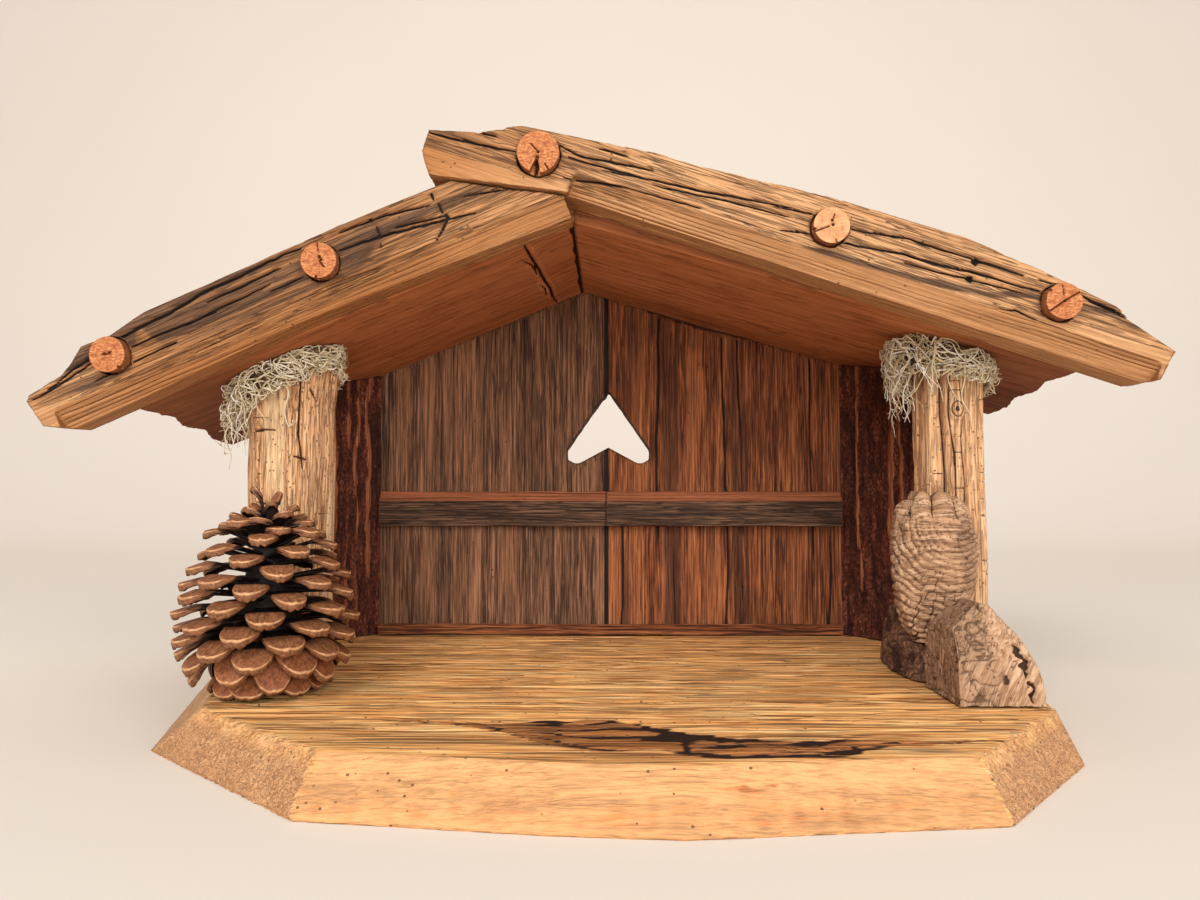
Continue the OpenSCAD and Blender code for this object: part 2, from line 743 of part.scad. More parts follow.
// Height share, width share and depth share of the root foot
foot_shares = [[0, 1, 1], [0.3, 0.96, 0.96], [0.6, 0.82, 0.86], [0.85, 0.62, 0.66], [1, 0.3, 0.36]];

module root_foot() {
    color("saddlebrown")
        difference() {
            translate([foot_x, foot_y, base_t])
                lump([for (s = foot_shares) [s[0] * foot_h, s[1] * foot_w / 2, s[2] * foot_d / 2, 0,
                                             s[0] * foot_d / 9]],
                     24, 0.04, 4);
            translate([post_right_x, post_y, 0])
                cylinder(r = post_right_r * post_clear_share + rest_gap, h = ridge_z);
            translate([foot_x - foot_w, post_front_y - foot_d, base_t + foot_seat_h])
                cube([2 * foot_w, foot_d + rest_gap, foot_h]);
        }
}

module base_screws() {
    color("silver") screws(0);
}

module roof_nails() {
    color("silver") nails(0);
}

base_board();
back_board_left();
back_board_right();
side_wall_left();
side_wall_right();
back_rail_left();
back_rail_right();
back_skirting();
roof_panel_left();
roof_panel_right();
roof_beam_left();
roof_beam_right();
peg_left_lower();
peg_left_upper();
peg_ridge();
peg_right_upper();
peg_right_lower();
post_left();
post_right();
lichen_left();
lichen_right();
pine_cone();
driftwood_burl();
driftwood_block();
root_foot();
base_screws();
roof_nails();
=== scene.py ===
import math
import random
from functools import reduce

import bpy
import numpy as np
from mathutils import Matrix, Vector


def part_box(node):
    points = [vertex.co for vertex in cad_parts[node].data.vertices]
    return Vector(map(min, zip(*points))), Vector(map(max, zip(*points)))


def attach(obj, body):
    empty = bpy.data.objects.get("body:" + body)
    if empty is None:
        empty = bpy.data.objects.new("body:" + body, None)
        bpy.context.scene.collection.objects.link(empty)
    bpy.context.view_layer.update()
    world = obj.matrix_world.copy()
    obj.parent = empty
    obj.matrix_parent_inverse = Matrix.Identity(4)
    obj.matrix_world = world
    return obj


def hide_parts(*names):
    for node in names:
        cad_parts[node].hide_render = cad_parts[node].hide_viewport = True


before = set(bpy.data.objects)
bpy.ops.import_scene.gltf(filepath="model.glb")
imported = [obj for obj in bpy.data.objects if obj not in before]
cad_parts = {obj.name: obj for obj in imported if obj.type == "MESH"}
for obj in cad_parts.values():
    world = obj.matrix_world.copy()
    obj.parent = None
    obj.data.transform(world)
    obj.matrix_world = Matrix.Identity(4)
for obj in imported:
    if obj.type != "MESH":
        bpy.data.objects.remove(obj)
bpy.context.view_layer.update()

MM = 0.001
GOLDEN_ANGLE = math.radians(137.508)
X, Y, Z = np.eye(3)

# Driving places and angles of the frame, as the solids have them
RIDGE_X, RIDGE_Z = -9.0, 165.5
SLOPE_LEFT, SLOPE_RIGHT = 22.5, 16.2
BEAM_SLOPE_LEFT, BEAM_SLOPE_RIGHT = 23.0, 18.5
BEAM_DROP, SEAT_RISE = 2.0, 4.0
SIDE_SPLAY = 36.0
CORNER_LEFT_X, CORNER_RIGHT_X = -99.0, 104.0
POST_Y = 20.0
POST_LEFT_X, POST_RIGHT_X = -113.0, 125.0
POST_LEFT_R, POST_RIGHT_R = 15.0, 13.0
JOINT_X, JOINT_LAP = 1.0, 0.45

# The camera, as the photograph gives it
FOCAL_PX, FRAME_PX = 900, 1200
CAMERA_AT = (0.0035, -0.306, 0.0735)
CAMERA_PITCH, CAMERA_YAW = 93.05, 0.764


def link(name, data):
    """A new object in the scene."""
    made = bpy.data.objects.new(name, data)
    bpy.context.scene.collection.objects.link(made)
    return made


def make_camera():
    data = bpy.data.cameras.new("camera")
    data.sensor_width = 36.0
    data.lens = FOCAL_PX / FRAME_PX * data.sensor_width
    data.clip_start, data.clip_end = 0.01, 20
    camera = link("camera", data)
    camera.location = CAMERA_AT
    camera.rotation_euler = (math.radians(CAMERA_PITCH), 0, math.radians(CAMERA_YAW))
    bpy.context.scene.camera = camera


# Noise and marks on arrays of points

def lattice(ix, iy, iz, seed):
    """Repeatable random values from 0 to 1 at whole-number places."""
    h = (ix * 73856093) ^ (iy * 19349663) ^ (iz * 83492791) ^ (seed * 26544357)
    h = ((h ^ (h >> 13)) * 1274126177) & 0x7FFFFFFF
    h = ((h ^ (h >> 15)) * 461845907) & 0x7FFFFFFF
    return ((h ^ (h >> 16)) & 0xFFFF) / 65535.0


def noise(points, seed=0):
    """Smooth noise from -1 to 1 at each row of points."""
    base = np.floor(points).astype(np.int64)
    f = points - base
    f = f * f * (3 - 2 * f)
    shares = (1 - f, f)
    total = 0
    for i, j, k in np.ndindex(2, 2, 2):
        weight = shares[i][:, 0] * shares[j][:, 1] * shares[k][:, 2]
        total = total + weight * lattice(base[:, 0] + i, base[:, 1] + j, base[:, 2] + k, seed)
    return 2 * total - 1


def noise_at(seed, x, y=0, z=0):
    """Noise at places given as one array and two more arrays or numbers."""
    return noise(np.stack(np.broadcast_arrays(x, y, z), 1), seed)


def fibres(q, along, across, seed=0, octaves=2, deep=None):
    """Noise drawn out along the grain: its features are along mm long and across mm wide."""
    cell = np.array([along, across, deep or across])
    return sum(noise(q / cell * 2 ** k, seed + k) * 0.6 ** k for k in range(octaves))


def ramp(x, low, high):
    """0 below low, 1 above high, with a smooth rise between."""
    t = np.clip((x - low) / (high - low), 0, 1)
    return t * t * (3 - 2 * t)


def bell(x, middle, width):
    """1 at the middle, falling to 0 on both sides."""
    return np.exp(-((x - middle) / width) ** 2)


def most(*shares):
    """The largest of several shares at each point."""
    return reduce(np.maximum, shares)


def off_line(value):
    """0 on each whole number and 1 halfway between two, for evenly spaced lines."""
    return np.abs(value - np.round(value)) * 2


def on_face(n, axis, sign, least=0.6):
    """1 where the surface looks along that axis, and 0 elsewhere."""
    return ramp(n[:, axis] * sign, least - 0.15, least + 0.15)


def cracks(q, lines, seed=0, widen=1.0):
    """Depth share of cracks along listed lines, each (width, points), that taper at both ends."""
    u, v = q[:, 0], q[:, 1]
    wobble = noise_at(seed, u / 13, 3) * 0.5 + noise_at(seed + 1, u / 2.5, 3) * 0.15
    depth = 0.0
    for width, *points in lines:
        width = width * widen
        length = sum(math.dist(a, b) for a, b in zip(points, points[1:]))
        done = 0.0
        for a, b in zip(points, points[1:]):
            side = math.dist(a, b)
            du, dv = (b[0] - a[0]) / side, (b[1] - a[1]) / side
            along = np.clip((u - a[0]) * du + (v - a[1]) * dv, 0, side)
            away = np.hypot(u - a[0] - along * du, v - a[1] - along * dv + wobble * width)
            share = np.clip((done + along) / length, 0.02, 0.98)
            half = width / 2 * np.sqrt(np.clip(np.sin(np.pi * share) + 0.1, 0, 1))
            depth = most(depth, 1 - ramp(away, half * 0.3, half + 0.30))
            done += side
    return depth


def row_checks(u, v, seed, pitch, length, share, half):
    """Straight drying checks in rows: each row is broken into thin pieces that taper at both ends."""
    wander = noise_at(seed, u / 45, v / 14) * 1.8 + noise_at(seed + 1, u / 9, v / 4) * 0.3
    row_at = (v + wander) / pitch
    row = np.round(row_at)
    whole = row.astype(np.int64)
    jitter = lattice(whole, whole * 0, whole * 0, seed) * 0.5 - 0.25
    away = np.abs(row_at - row - jitter) * pitch
    life = noise_at(seed + 2, u / length + row * 3.7, row * 1.31)
    taper = ramp(life, 1 - 2 * share, 1.4 - 2 * share)
    return (1 - ramp(away, half * taper * 0.3, half * taper + 0.25)) * ramp(taper, 0.0, 0.15)


def marks(crack=0, stain=0, worn=0, own=0):
    """The four shares that the materials read: crack, stain, worn and one of the piece's own, which on some
    pieces also carry painted shade and painted highlights.
    """
    parts = np.broadcast_arrays(*[np.asarray(x, float) for x in (crack, stain, worn, own)])
    return np.clip(np.stack(parts, 1), 0, 1)


# Materials

def paint(rgb):
    """An sRGB colour of 0 to 255, as the linear one that the nodes take."""
    return tuple(((c / 255 + 0.055) / 1.055) ** 2.4 if c > 10 else c / 255 / 12.92 for c in rgb) + (1.0,)


def shade(rgb, share):
    """A colour made darker or lighter by a share."""
    return [c * share for c in rgb]


class Value:
    """One output in a material's node tree, so that sums on it read as plain sums."""

    def __init__(self, look, socket):
        self.look, self.socket = look, socket

    def __add__(self, other):
        return self.look.math("ADD", self, other)

    def __sub__(self, other):
        return self.look.math("SUBTRACT", self, other)

    def __mul__(self, other):
        return self.look.math("MULTIPLY", self, other)

    def size(self):
        return self.look.math("ABSOLUTE", self)

    def most(self, other):
        return self.look.math("MAXIMUM", self, other)

    def step(self, low, high):
        """A smooth rise from 0 at low to 1 at high."""
        values = {"Value": self, "From Min": low, "From Max": high}
        return self.look.node("MapRange", values, interpolation_type="SMOOTHSTEP")

    def colours(self, *stops):
        """A colour ramp of stops, each a place and its red, green and blue."""
        made = self.look.node("ValToRGB", {"Fac": self})
        elements = made.socket.node.color_ramp.elements
        while len(elements) < len(stops):
            elements.new(1.0)
        for element, (at, *rgb) in zip(elements, stops):
            element.position = at
            element.color = paint(rgb)
        return made

    def blend(self, a, b):
        """Colour a where this share is 0, and b where it is 1."""
        return self.look.node("Mix", {"Factor": self, 6: a, 7: b}, output=2, data_type="RGBA")


class Look:
    """A material's node tree, with short calls for the nodes used here."""

    def __init__(self, name, gloss=0.3):
        self.material = bpy.data.materials.new(name)
        self.material.use_nodes = True
        self.tree = self.material.node_tree
        self.shader = self.tree.nodes["Principled BSDF"]
        self.shader.inputs["Specular IOR Level"].default_value = gloss

    def node(self, kind, values=None, output=0, **settings):
        made = self.tree.nodes.new("ShaderNode" + kind)
        for key, value in settings.items():
            setattr(made, key, value)
        for key, value in (values or {}).items():
            self.put(made.inputs[key], value)
        return Value(self, made.outputs[output])

    def put(self, socket, value):
        """Links a value to a socket, or sets the number, vector or sRGB colour that it holds."""
        if isinstance(value, Value):
            self.tree.links.new(value.socket, socket)
        else:
            socket.default_value = paint(value) if socket.type == "RGBA" else value

    def math(self, operation, a, b=0.0):
        return self.node("Math", {0: a, 1: b}, operation=operation)

    def grain(self):
        return self.node("Attribute", output="Vector", attribute_name="grain")

    def marks(self):
        """The carving's four shares."""
        colour = self.node("Attribute", output="Color", attribute_name="marks")
        split = self.node("SeparateColor", {"Color": colour}).socket.node
        own = self.node("Attribute", output="Alpha", attribute_name="marks")
        return [Value(self, split.outputs[i]) for i in range(3)] + [own]

    def noise(self, vector, size, detail=3.0, roughness=0.55, distortion=0.0):
        """Noise whose features are size mm along each axis of the vector."""
        scaled = self.node("Mapping", {"Vector": vector, "Scale": tuple(1 / s for s in size)})
        return self.plain_noise(scaled, 1.0, detail, roughness, distortion)

    def plain_noise(self, vector, scale, detail, roughness=0.5, distortion=0.0):
        """Noise over a vector, whose features get smaller with scale."""
        values = {"Vector": vector, "Scale": scale, "Detail": detail, "Roughness": roughness,
                  "Distortion": distortion}
        return self.node("TexNoise", values, output="Fac")

    def line(self, vector, size, detail, distortion, outer, inner):
        """Thin wandering lines, where noise of that size crosses its middle."""
        return (self.noise(vector, size, detail, 0.5, distortion) - 0.5).size().step(outer, inner)

    def finish(self, colour, roughness, height, relief):
        """Sets colour, roughness and a bump of relief mm, and returns the material."""
        bump = self.node("Bump", {"Height": height, "Distance": relief * MM, "Strength": 1.0})
        for name, value in (("Base Color", colour), ("Roughness", roughness), ("Normal", bump)):
            self.put(self.shader.inputs[name], value)
        return self.material


def wood(name, dark, mid, light, check, stain, worn, extra=None, fibre=0.35, check_share=0.40,
         check_size=(14, 0.8), worm=0.35, pores=1.0, rough=0.78, relief=0.45, curl=0.0, threads=0.5,
         gloss=0.3, line_depth=0.5):
    """Weathered wood: fibres of three sizes, fine checks, worm holes, and the carving's marks on top, whose
    stain and worn colours also paint the shade and glints that some pieces mark.
    """
    look = Look(name, gloss)
    grain = look.grain()
    crack, stained, bare, own = look.marks()
    hair = look.noise(grain, (fibre * 30, fibre, fibre), 3, 0.6)
    fine = look.noise(grain, (fibre * 80, fibre * 2.4, fibre * 2.4), 3, 0.6, 0.1)
    broad = look.noise(grain, (fibre * 160, fibre * 12, fibre * 12), 3, 0.5, 0.3)
    tone = hair * 0.30 + (fine * 0.45 + broad * 0.25)
    colour = tone.colours((0.4, *dark), (0.5, *mid), (0.6, *light))
    wear_and_sheen = tone.colours((0.4, *shade(worn, 0.80)), (0.54, *worn))
    colour = (bare + (fine * 0.5 - 0.25)).step(0.25, 0.75).blend(colour, wear_and_sheen)
    length, width = check_size
    if extra:
        other = tone.colours((0.4, *extra[0]), (0.6, *extra[1]))
        if curl:
            curls = look.line(grain, (curl, curl * 0.6, curl * 0.6), 1, 1.6, 0.055, 0.015)
            curls = curls * own.step(0.62, 0.98)
            other = (curls * 0.45).blend(other, shade(extra[0], 0.66))
        colour = own.blend(colour, other)
    # The stain colour paints real stains and, where a piece marks it, painted shade.
    stain_and_shade_tone = tone.colours((0.4, *shade(stain, 0.60)), (0.5, *stain), (0.6, *shade(stain, 1.40)))
    colour = ((stained + (fine * 0.9 - 0.45)).step(0.2, 0.9) * 0.88).blend(colour, stain_and_shade_tone)
    checks = look.noise(grain, (length, width, width), 1, 0.5).step(check_share, check_share - 0.04)
    torn = look.noise(grain, (length * 1.6, 4, 4), 2).step(0.56 - threads * 0.2, 0.62 - threads * 0.2)
    thread = look.line(grain, (length * 4, 2.4, 2.4), 2, 0.1, 0.016, 0.006)
    hairline = look.line(grain, (length * 2.5, 1.2, 1.2), 1, 0.0, 0.035, 0.012)
    checks = checks.most(thread * torn).most(hairline * (torn * 0.6)) * (bare * -0.8 + 0.9)
    if curl:
        checks = checks * (own * -0.9 + 1.0)
    cell = look.node("Mapping", {"Vector": grain, "Scale": (0.28 * pores, 0.34 * pores, 0.34 * pores)})
    dots = look.node("TexVoronoi", {"Vector": cell, "Scale": 1.0}, output="Distance")
    patch = look.noise(grain, (26, 8, 8), 2).step(0.64 - worm * 0.3, 0.70 - worm * 0.3)
    dots = dots.step(0.12 * pores, 0.08 * pores) * patch
    lines = checks.most(dots * 0.95)
    deep = [line_depth * c + (1 - line_depth) * d for c, d in zip(check, dark)]
    colour = (lines * 0.85).blend(colour, deep)
    crack = crack.step(0.38, 0.72)
    colour = crack.blend(colour, check)
    height = hair * 0.5 + (fine * 0.5 + lines.most(crack) * -0.9)
    if curl:
        height = height + curls * -0.7
    return look.finish(colour, fine * -0.2 + (rough + 0.1), height, relief)


def bark_look():
    """Crumbled bark: grains of dark red brown whose palest tips are painted glints, beside a lower roughness
    there, and bare orange strips of wood.
    """
    look = Look("bark_face")
    grain = look.grain()
    crack, stained, bare, _ = look.marks()
    crumb = look.noise(grain, (1.5, 0.9, 0.9), 5, 0.7)
    tone = crumb * 0.65 + look.noise(grain, (14, 3, 3), 3) * 0.35
    # The palest stop is painted glints on the crumbs.
    colour = tone.colours((0.38, 36, 15, 11), (0.48, 80, 34, 21), (0.57, 124, 62, 38), (0.66, 186, 126, 96))
    fibre = look.noise(grain, (18, 0.7, 0.7), 4, 0.6)
    strip = fibre.colours((0.38, 120, 62, 36), (0.50, 160, 92, 56), (0.62, 190, 122, 80))
    colour = (bare + (crumb * 0.6 - 0.3)).step(0.35, 0.7).blend(colour, strip)
    colour = crack.most(stained * 0.5).blend(colour, (24, 11, 9))
    return look.finish(colour, crumb * -0.5 + 0.85, crumb, 1.3)


def peg_look():
    """End grain of a sliced branch: a soft mottle, faint rays and rings, and the carved cracks."""
    look = Look("peg_wood")
    grain = look.grain()
    crack, stained, bare, _ = look.marks()
    place = look.node("SeparateXYZ", {"Vector": grain}).socket.node.outputs
    angle = look.math("ARCTAN2", Value(look, place[1]), Value(look, place[0]))
    away = look.node("VectorMath", {0: grain}, output="Value", operation="LENGTH")
    rays = look.plain_noise(look.node("CombineXYZ", {"X": angle * 9.0, "Y": away * 0.25}), 1.6, 3.0)
    mottle = look.noise(grain, (1.8, 0.7, 1.0), 5, 0.65, 0.8)
    ring = look.math("SINE", (mottle * 1.4 + away) * 9.0)
    tone = rays * 0.25 + (mottle * 0.75 + ring * 0.025)
    colour = tone.colours((0.38, 142, 76, 40), (0.50, 178, 106, 60), (0.62, 208, 142, 90))
    colour = bare.blend(colour, (226, 176, 128))
    colour = (stained * 0.75).blend(colour, (124, 72, 46))
    colour = crack.blend(colour, (60, 30, 20))
    return look.finish(colour, 0.66, crack * -0.8 + tone, 0.3)


def lichen_look():
    """Dry lichen: each strand has a tone of its own, paler at its tips, over a dark heart."""
    look = Look("dry_lichen")
    mottle = look.noise(look.grain(), (1.2, 1.2, 1.2), 3)
    tone = mottle * 0.35 + look.marks()[0] * 0.75
    colour = tone.colours((0.16, 72, 52, 34), (0.32, 158, 134, 96), (0.48, 210, 190, 152),
                          (0.68, 228, 216, 190), (0.90, 248, 242, 230))
    return look.finish(colour, 0.85, mottle, 0.15)


def cone_look():
    """Pine cone scale: painted shade, black, on its inner part and underside, warm brown on its face, with a
    pale ridge over a tan lip.
    """
    look = Look("pine_cone_scale")
    grain = look.grain()
    hollow_shade, warmth, rim, lip = look.marks()
    streak = look.noise(grain, (5, 0.7, 0.7), 4)
    spot = look.noise(grain, (1.4, 1.4, 1.4), 4)
    tone = streak * 0.6 + spot * 0.4
    face = tone.colours((0.34, 92, 52, 31), (0.5, 136, 84, 52), (0.66, 168, 113, 75))
    warm = tone.colours((0.34, 96, 50, 28), (0.5, 138, 78, 44), (0.66, 164, 100, 62))
    tan = tone.colours((0.34, 86, 50, 30), (0.5, 126, 80, 50), (0.66, 154, 106, 70))
    colour = lip.blend(warmth.blend(face, warm), tan)
    pale = spot.step(0.35, 0.65).blend((174, 120, 78), (206, 156, 110))
    colour = rim.step(0.45, 0.9).blend(colour, pale)
    # Painted shade: black where the scales lie in each other's shade.
    black = streak.step(0.35, 0.7).blend((18, 11, 9), (42, 25, 19))
    return look.finish(hollow_shade.step(0.3, 0.7).blend(colour, black), 0.58, tone, 0.35)


def steel_look():
    """Zinc-plated steel with brushed streaks and a little rust."""
    look = Look("zinc_steel")
    at = look.node("TexCoord", output="Object")
    brushed = look.plain_noise(at, 1800.0, 3.0)
    rust = look.plain_noise(at, 260.0, 5.0).step(0.55, 0.72)
    colour = rust.blend(brushed.blend((150, 150, 150), (196, 196, 194)), (122, 70, 40))
    look.shader.inputs["Metallic"].default_value = 0.9
    return look.finish(colour, rust * 0.4 + 0.35, brushed, 0.03)


def backdrop_look():
    """Warm cream paper: a touch deeper on the floor than on the wall, which gets less of the light."""
    look = Look("cream_paper")
    at = look.node("TexCoord", output="Object")
    cloud = look.plain_noise(at, 3.0, 2.0)
    place = look.node("SeparateXYZ", {"Vector": at}).socket.node.outputs
    floor = cloud.blend((228, 217, 203), (231, 220, 206))
    wall = cloud.blend((252, 239, 226), (254, 242, 229))
    back = Value(look, place[1]).step(-0.2, 1.2)
    return look.finish(back.blend(floor, wall), 0.9, cloud, 0.01)


# Every material by slot. A wood's colours are dark, middle, light, check, stain (also painted shade on some
# pieces) and worn (also painted glints on the roof), and some have a second pair of dark and light.
BACK = {"check_size": (24, 0.7), "worm": 0.2, "threads": 0.9}
LOOKS = {
    "base_wood": wood("slab_wood", (194, 122, 64), (250, 182, 108), (254, 212, 148), (40, 22, 15),
                      (146, 82, 36), (226, 164, 106), ((186, 130, 84), (224, 168, 118)), fibre=0.36,
                      check_size=(40, 0.8), worm=0.7, rough=0.62, relief=0.4, curl=2.3, threads=0.9,
                      line_depth=0.75),
    "back_wood_grey": wood("grey_back_wood", (66, 43, 29), (120, 80, 55), (160, 114, 82), (32, 20, 15),
                           (54, 36, 27), (168, 114, 78), fibre=0.26, **BACK),
    "back_wood_red": wood("red_back_wood", (80, 38, 20), (138, 76, 40), (182, 110, 64), (26, 14, 11),
                          (42, 22, 16), (180, 110, 66), fibre=0.28, **BACK),
    "bark": bark_look(),
    "rail_wood": wood("rail_wood", (58, 38, 28), (92, 64, 46), (130, 94, 68), (26, 17, 13),
                      (42, 29, 22), (166, 96, 60), fibre=0.28, worm=0.2, threads=0.9),
    "roof_wood": wood("stained_roof_wood", (166, 100, 62), (186, 117, 74), (204, 134, 88), (52, 26, 16),
                      (96, 48, 25), (214, 144, 100), ((96, 76, 58), (150, 122, 96)), fibre=0.45,
                      check_share=0.28, worm=0.15, rough=0.85, relief=0.2, gloss=0.12, threads=0.3),
    "beam_wood": wood("beam_wood", (114, 72, 40), (156, 104, 60), (190, 136, 84), (30, 21, 18),
                      (78, 56, 42), (172, 112, 62), ((166, 116, 74), (214, 164, 116)), fibre=0.26,
                      check_share=0.39, check_size=(14, 0.5), worm=0.5, relief=0.5, threads=1.0),
    "peg_wood": peg_look(),
    "post_wood": wood("post_wood", (176, 124, 82), (214, 163, 116), (236, 192, 148), (72, 44, 28),
                      (138, 98, 66), (234, 196, 150), fibre=0.38, check_size=(9, 0.6), worm=1.1,
                      pores=1.7, threads=0.9),
    "driftwood": wood("driftwood", (136, 98, 70), (174, 134, 100), (204, 166, 132), (66, 44, 31),
                      (92, 68, 53), (212, 174, 138), fibre=0.5, check_share=0.33, worm=0.9, pores=1.4,
                      relief=0.4),
    "dark_root": wood("dark_root", (86, 56, 40), (120, 84, 62), (158, 118, 88), (44, 28, 21),
                      (66, 36, 27), (166, 126, 96), fibre=0.6, check_share=0.36, worm=0.7, pores=1.4),
    "lichen": lichen_look(),
    "pine_cone": cone_look(),
    "fastener_steel": steel_look(),
}


# Pieces carved from their solids

def slope_grain(side, degrees, rise):
    """Grain frame of a roof slope: down the slope, up out of the board, and back."""
    a = math.radians(degrees)
    down, up = side * math.cos(a) * X - math.sin(a) * Z, side * math.sin(a) * X + math.cos(a) * Z
    return np.array([down, up, Y]), np.array([RIDGE_X, 0, RIDGE_Z + rise])


def side_grain(side, corner_x, corner_y):
    """Grain frame of a side wall: up, from the corner to its front edge, and out through it."""
    a = math.radians(SIDE_SPLAY)
    along, out = side * math.sin(a) * X - math.cos(a) * Y, side * math.cos(a) * X + math.sin(a) * Y
    return np.array([Z, along, out]), np.array([corner_x, corner_y, 0])


UPRIGHT_GRAIN = (np.array([Z, X, Y]), np.zeros(3))
FLAT_GRAIN = (np.array([X, Y, Z]), np.zeros(3))
RAIL_GRAIN = (np.array([X, Z, Y]), np.zeros(3))
BLOCK_TURN = np.array([[0.45, 0.0, 0.89], [0.89, 0.0, -0.45], [0.0, 1.0, 0.0]])


def place(name, mesh, slot, node):
    """Links a finished mesh as a piece on the one body, standing for its CAD node."""
    piece = link(name, mesh)
    mesh.materials.clear()
    mesh.materials.append(LOOKS[slot])
    mesh.shade_smooth()
    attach(piece, "root")
    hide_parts(node)


def read(mesh, what="co"):
    values = np.empty(len(mesh.vertices) * 3, np.float32)
    mesh.vertices.foreach_get(what, values)
    return values.reshape(-1, 3).astype(float)


def write(mesh, points):
    mesh.vertices.foreach_set("co", points.astype(np.float32).ravel())
    mesh.update()


def fine_mesh(node, grain, voxel, stretch):
    """A remeshed copy of a solid, whose cells are voxel mm across the grain and longer along it."""
    axes, origin = grain
    squeeze = np.array([1 / stretch, 1, 1])
    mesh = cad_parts[node].data.copy()
    write(mesh, ((read(mesh) / MM - origin) @ axes.T) * squeeze * MM)
    piece, solid = link("scratch", mesh), link("solid", mesh)
    remesh = piece.modifiers.new("fine", "REMESH")
    remesh.mode = "VOXEL"
    remesh.voxel_size = voxel * MM
    soften = piece.modifiers.new("soften", "SMOOTH")
    soften.factor = 0.5
    soften.iterations = 3
    piece.modifiers.new("settle", "SHRINKWRAP").target = solid
    done = bpy.data.meshes.new_from_object(piece.evaluated_get(bpy.context.evaluated_depsgraph_get()))
    bpy.data.objects.remove(piece)
    bpy.data.objects.remove(solid)
    write(done, (read(done) / MM / squeeze @ axes + origin) * MM)
    if np.linalg.det(axes) < 0:
        done.flip_normals()
    return done


def keep_marks(mesh, q, shares):
    """Stores the grain frame's coordinates and the mark shares where the materials read them."""
    for name, kind, field, values in (("grain", "FLOAT_VECTOR", "vector", q),
                                      ("marks", "FLOAT_COLOR", "color", shares)):
        stored = mesh.attributes.new(name, kind, "POINT").data
        stored.foreach_set(field, values.astype(np.float32).ravel())


def carve(node, slot, grain, voxel, stretch, shape, *details, turn=np.eye(3)):
    """Remeshes a node and sinks its surface by what shape says at each point, in the node's stead."""
    axes, origin = grain
    mesh = fine_mesh(node, grain, voxel, stretch)
    points, normals = read(mesh), read(mesh, "normal")
    q = (points / MM - origin) @ axes.T
    depth, shares = shape(q, normals @ axes.T, *details)
    write(mesh, points - normals * (depth * MM)[:, None])
    keep_marks(mesh, q @ turn.T, shares)
    place(node + "_carved", mesh, slot, node)


# The slab

KNOT_X = [-62, -40, -25, -18, -7, 3, 13, 23, 33, 42, 52, 62, 73, 100]
KNOT_Y = [-60, -63, -67, -70, -74, -73, -76, -82, -85, -86, -85, -83.5, -82, -78]
KNOT_HALF = [0.3, 1.2, 4, 8.8, 12.5, 15, 12.5, 10.8, 9.8, 8.8, 8, 6.4, 2.6, 0.8]


def knot_streak(x, y, swirl):
    """The knot's streak: an orange-brown flame with curled lines, and black along its edges."""
    away = (y - np.interp(x, KNOT_X, KNOT_Y)) / np.interp(x, KNOT_X, KNOT_HALF)
    inside = ramp(np.abs(away) + 0.25 * swirl, 1.08, 0.85)
    lines = ramp(off_line(away * 1.9 + 1.4 * noise_at(33, x / 13, away * 1.1)), 0.50, 0.20)
    torn = ramp(noise_at(37, x / 13, y / 2.4), 0.15, 0.5)
    heart = bell(x, 22, 17) * ramp(away, -0.7, 0.0) * (1 - 0.75 * torn)
    upper = ramp(away, 0.50, 0.80) * ramp(x, -30, -20) * ramp(x, 84, 60)
    lower = ramp(away, -0.50, -0.75) * ramp(x, 16, 28) * ramp(x, 76, 62)
    black = most(heart, upper * 0.70, lower * 0.85) + 0.40 * swirl
    edge = ramp(np.abs(away), 0.72, 0.90) * ramp(x, -45, -25) * ramp(swirl, -0.5, 0.1)
    charred = inside * most(lines * 0.92, ramp(black, 0.38, 0.66), edge * 0.80)
    return inside * (0.92 + 0.16 * swirl), charred


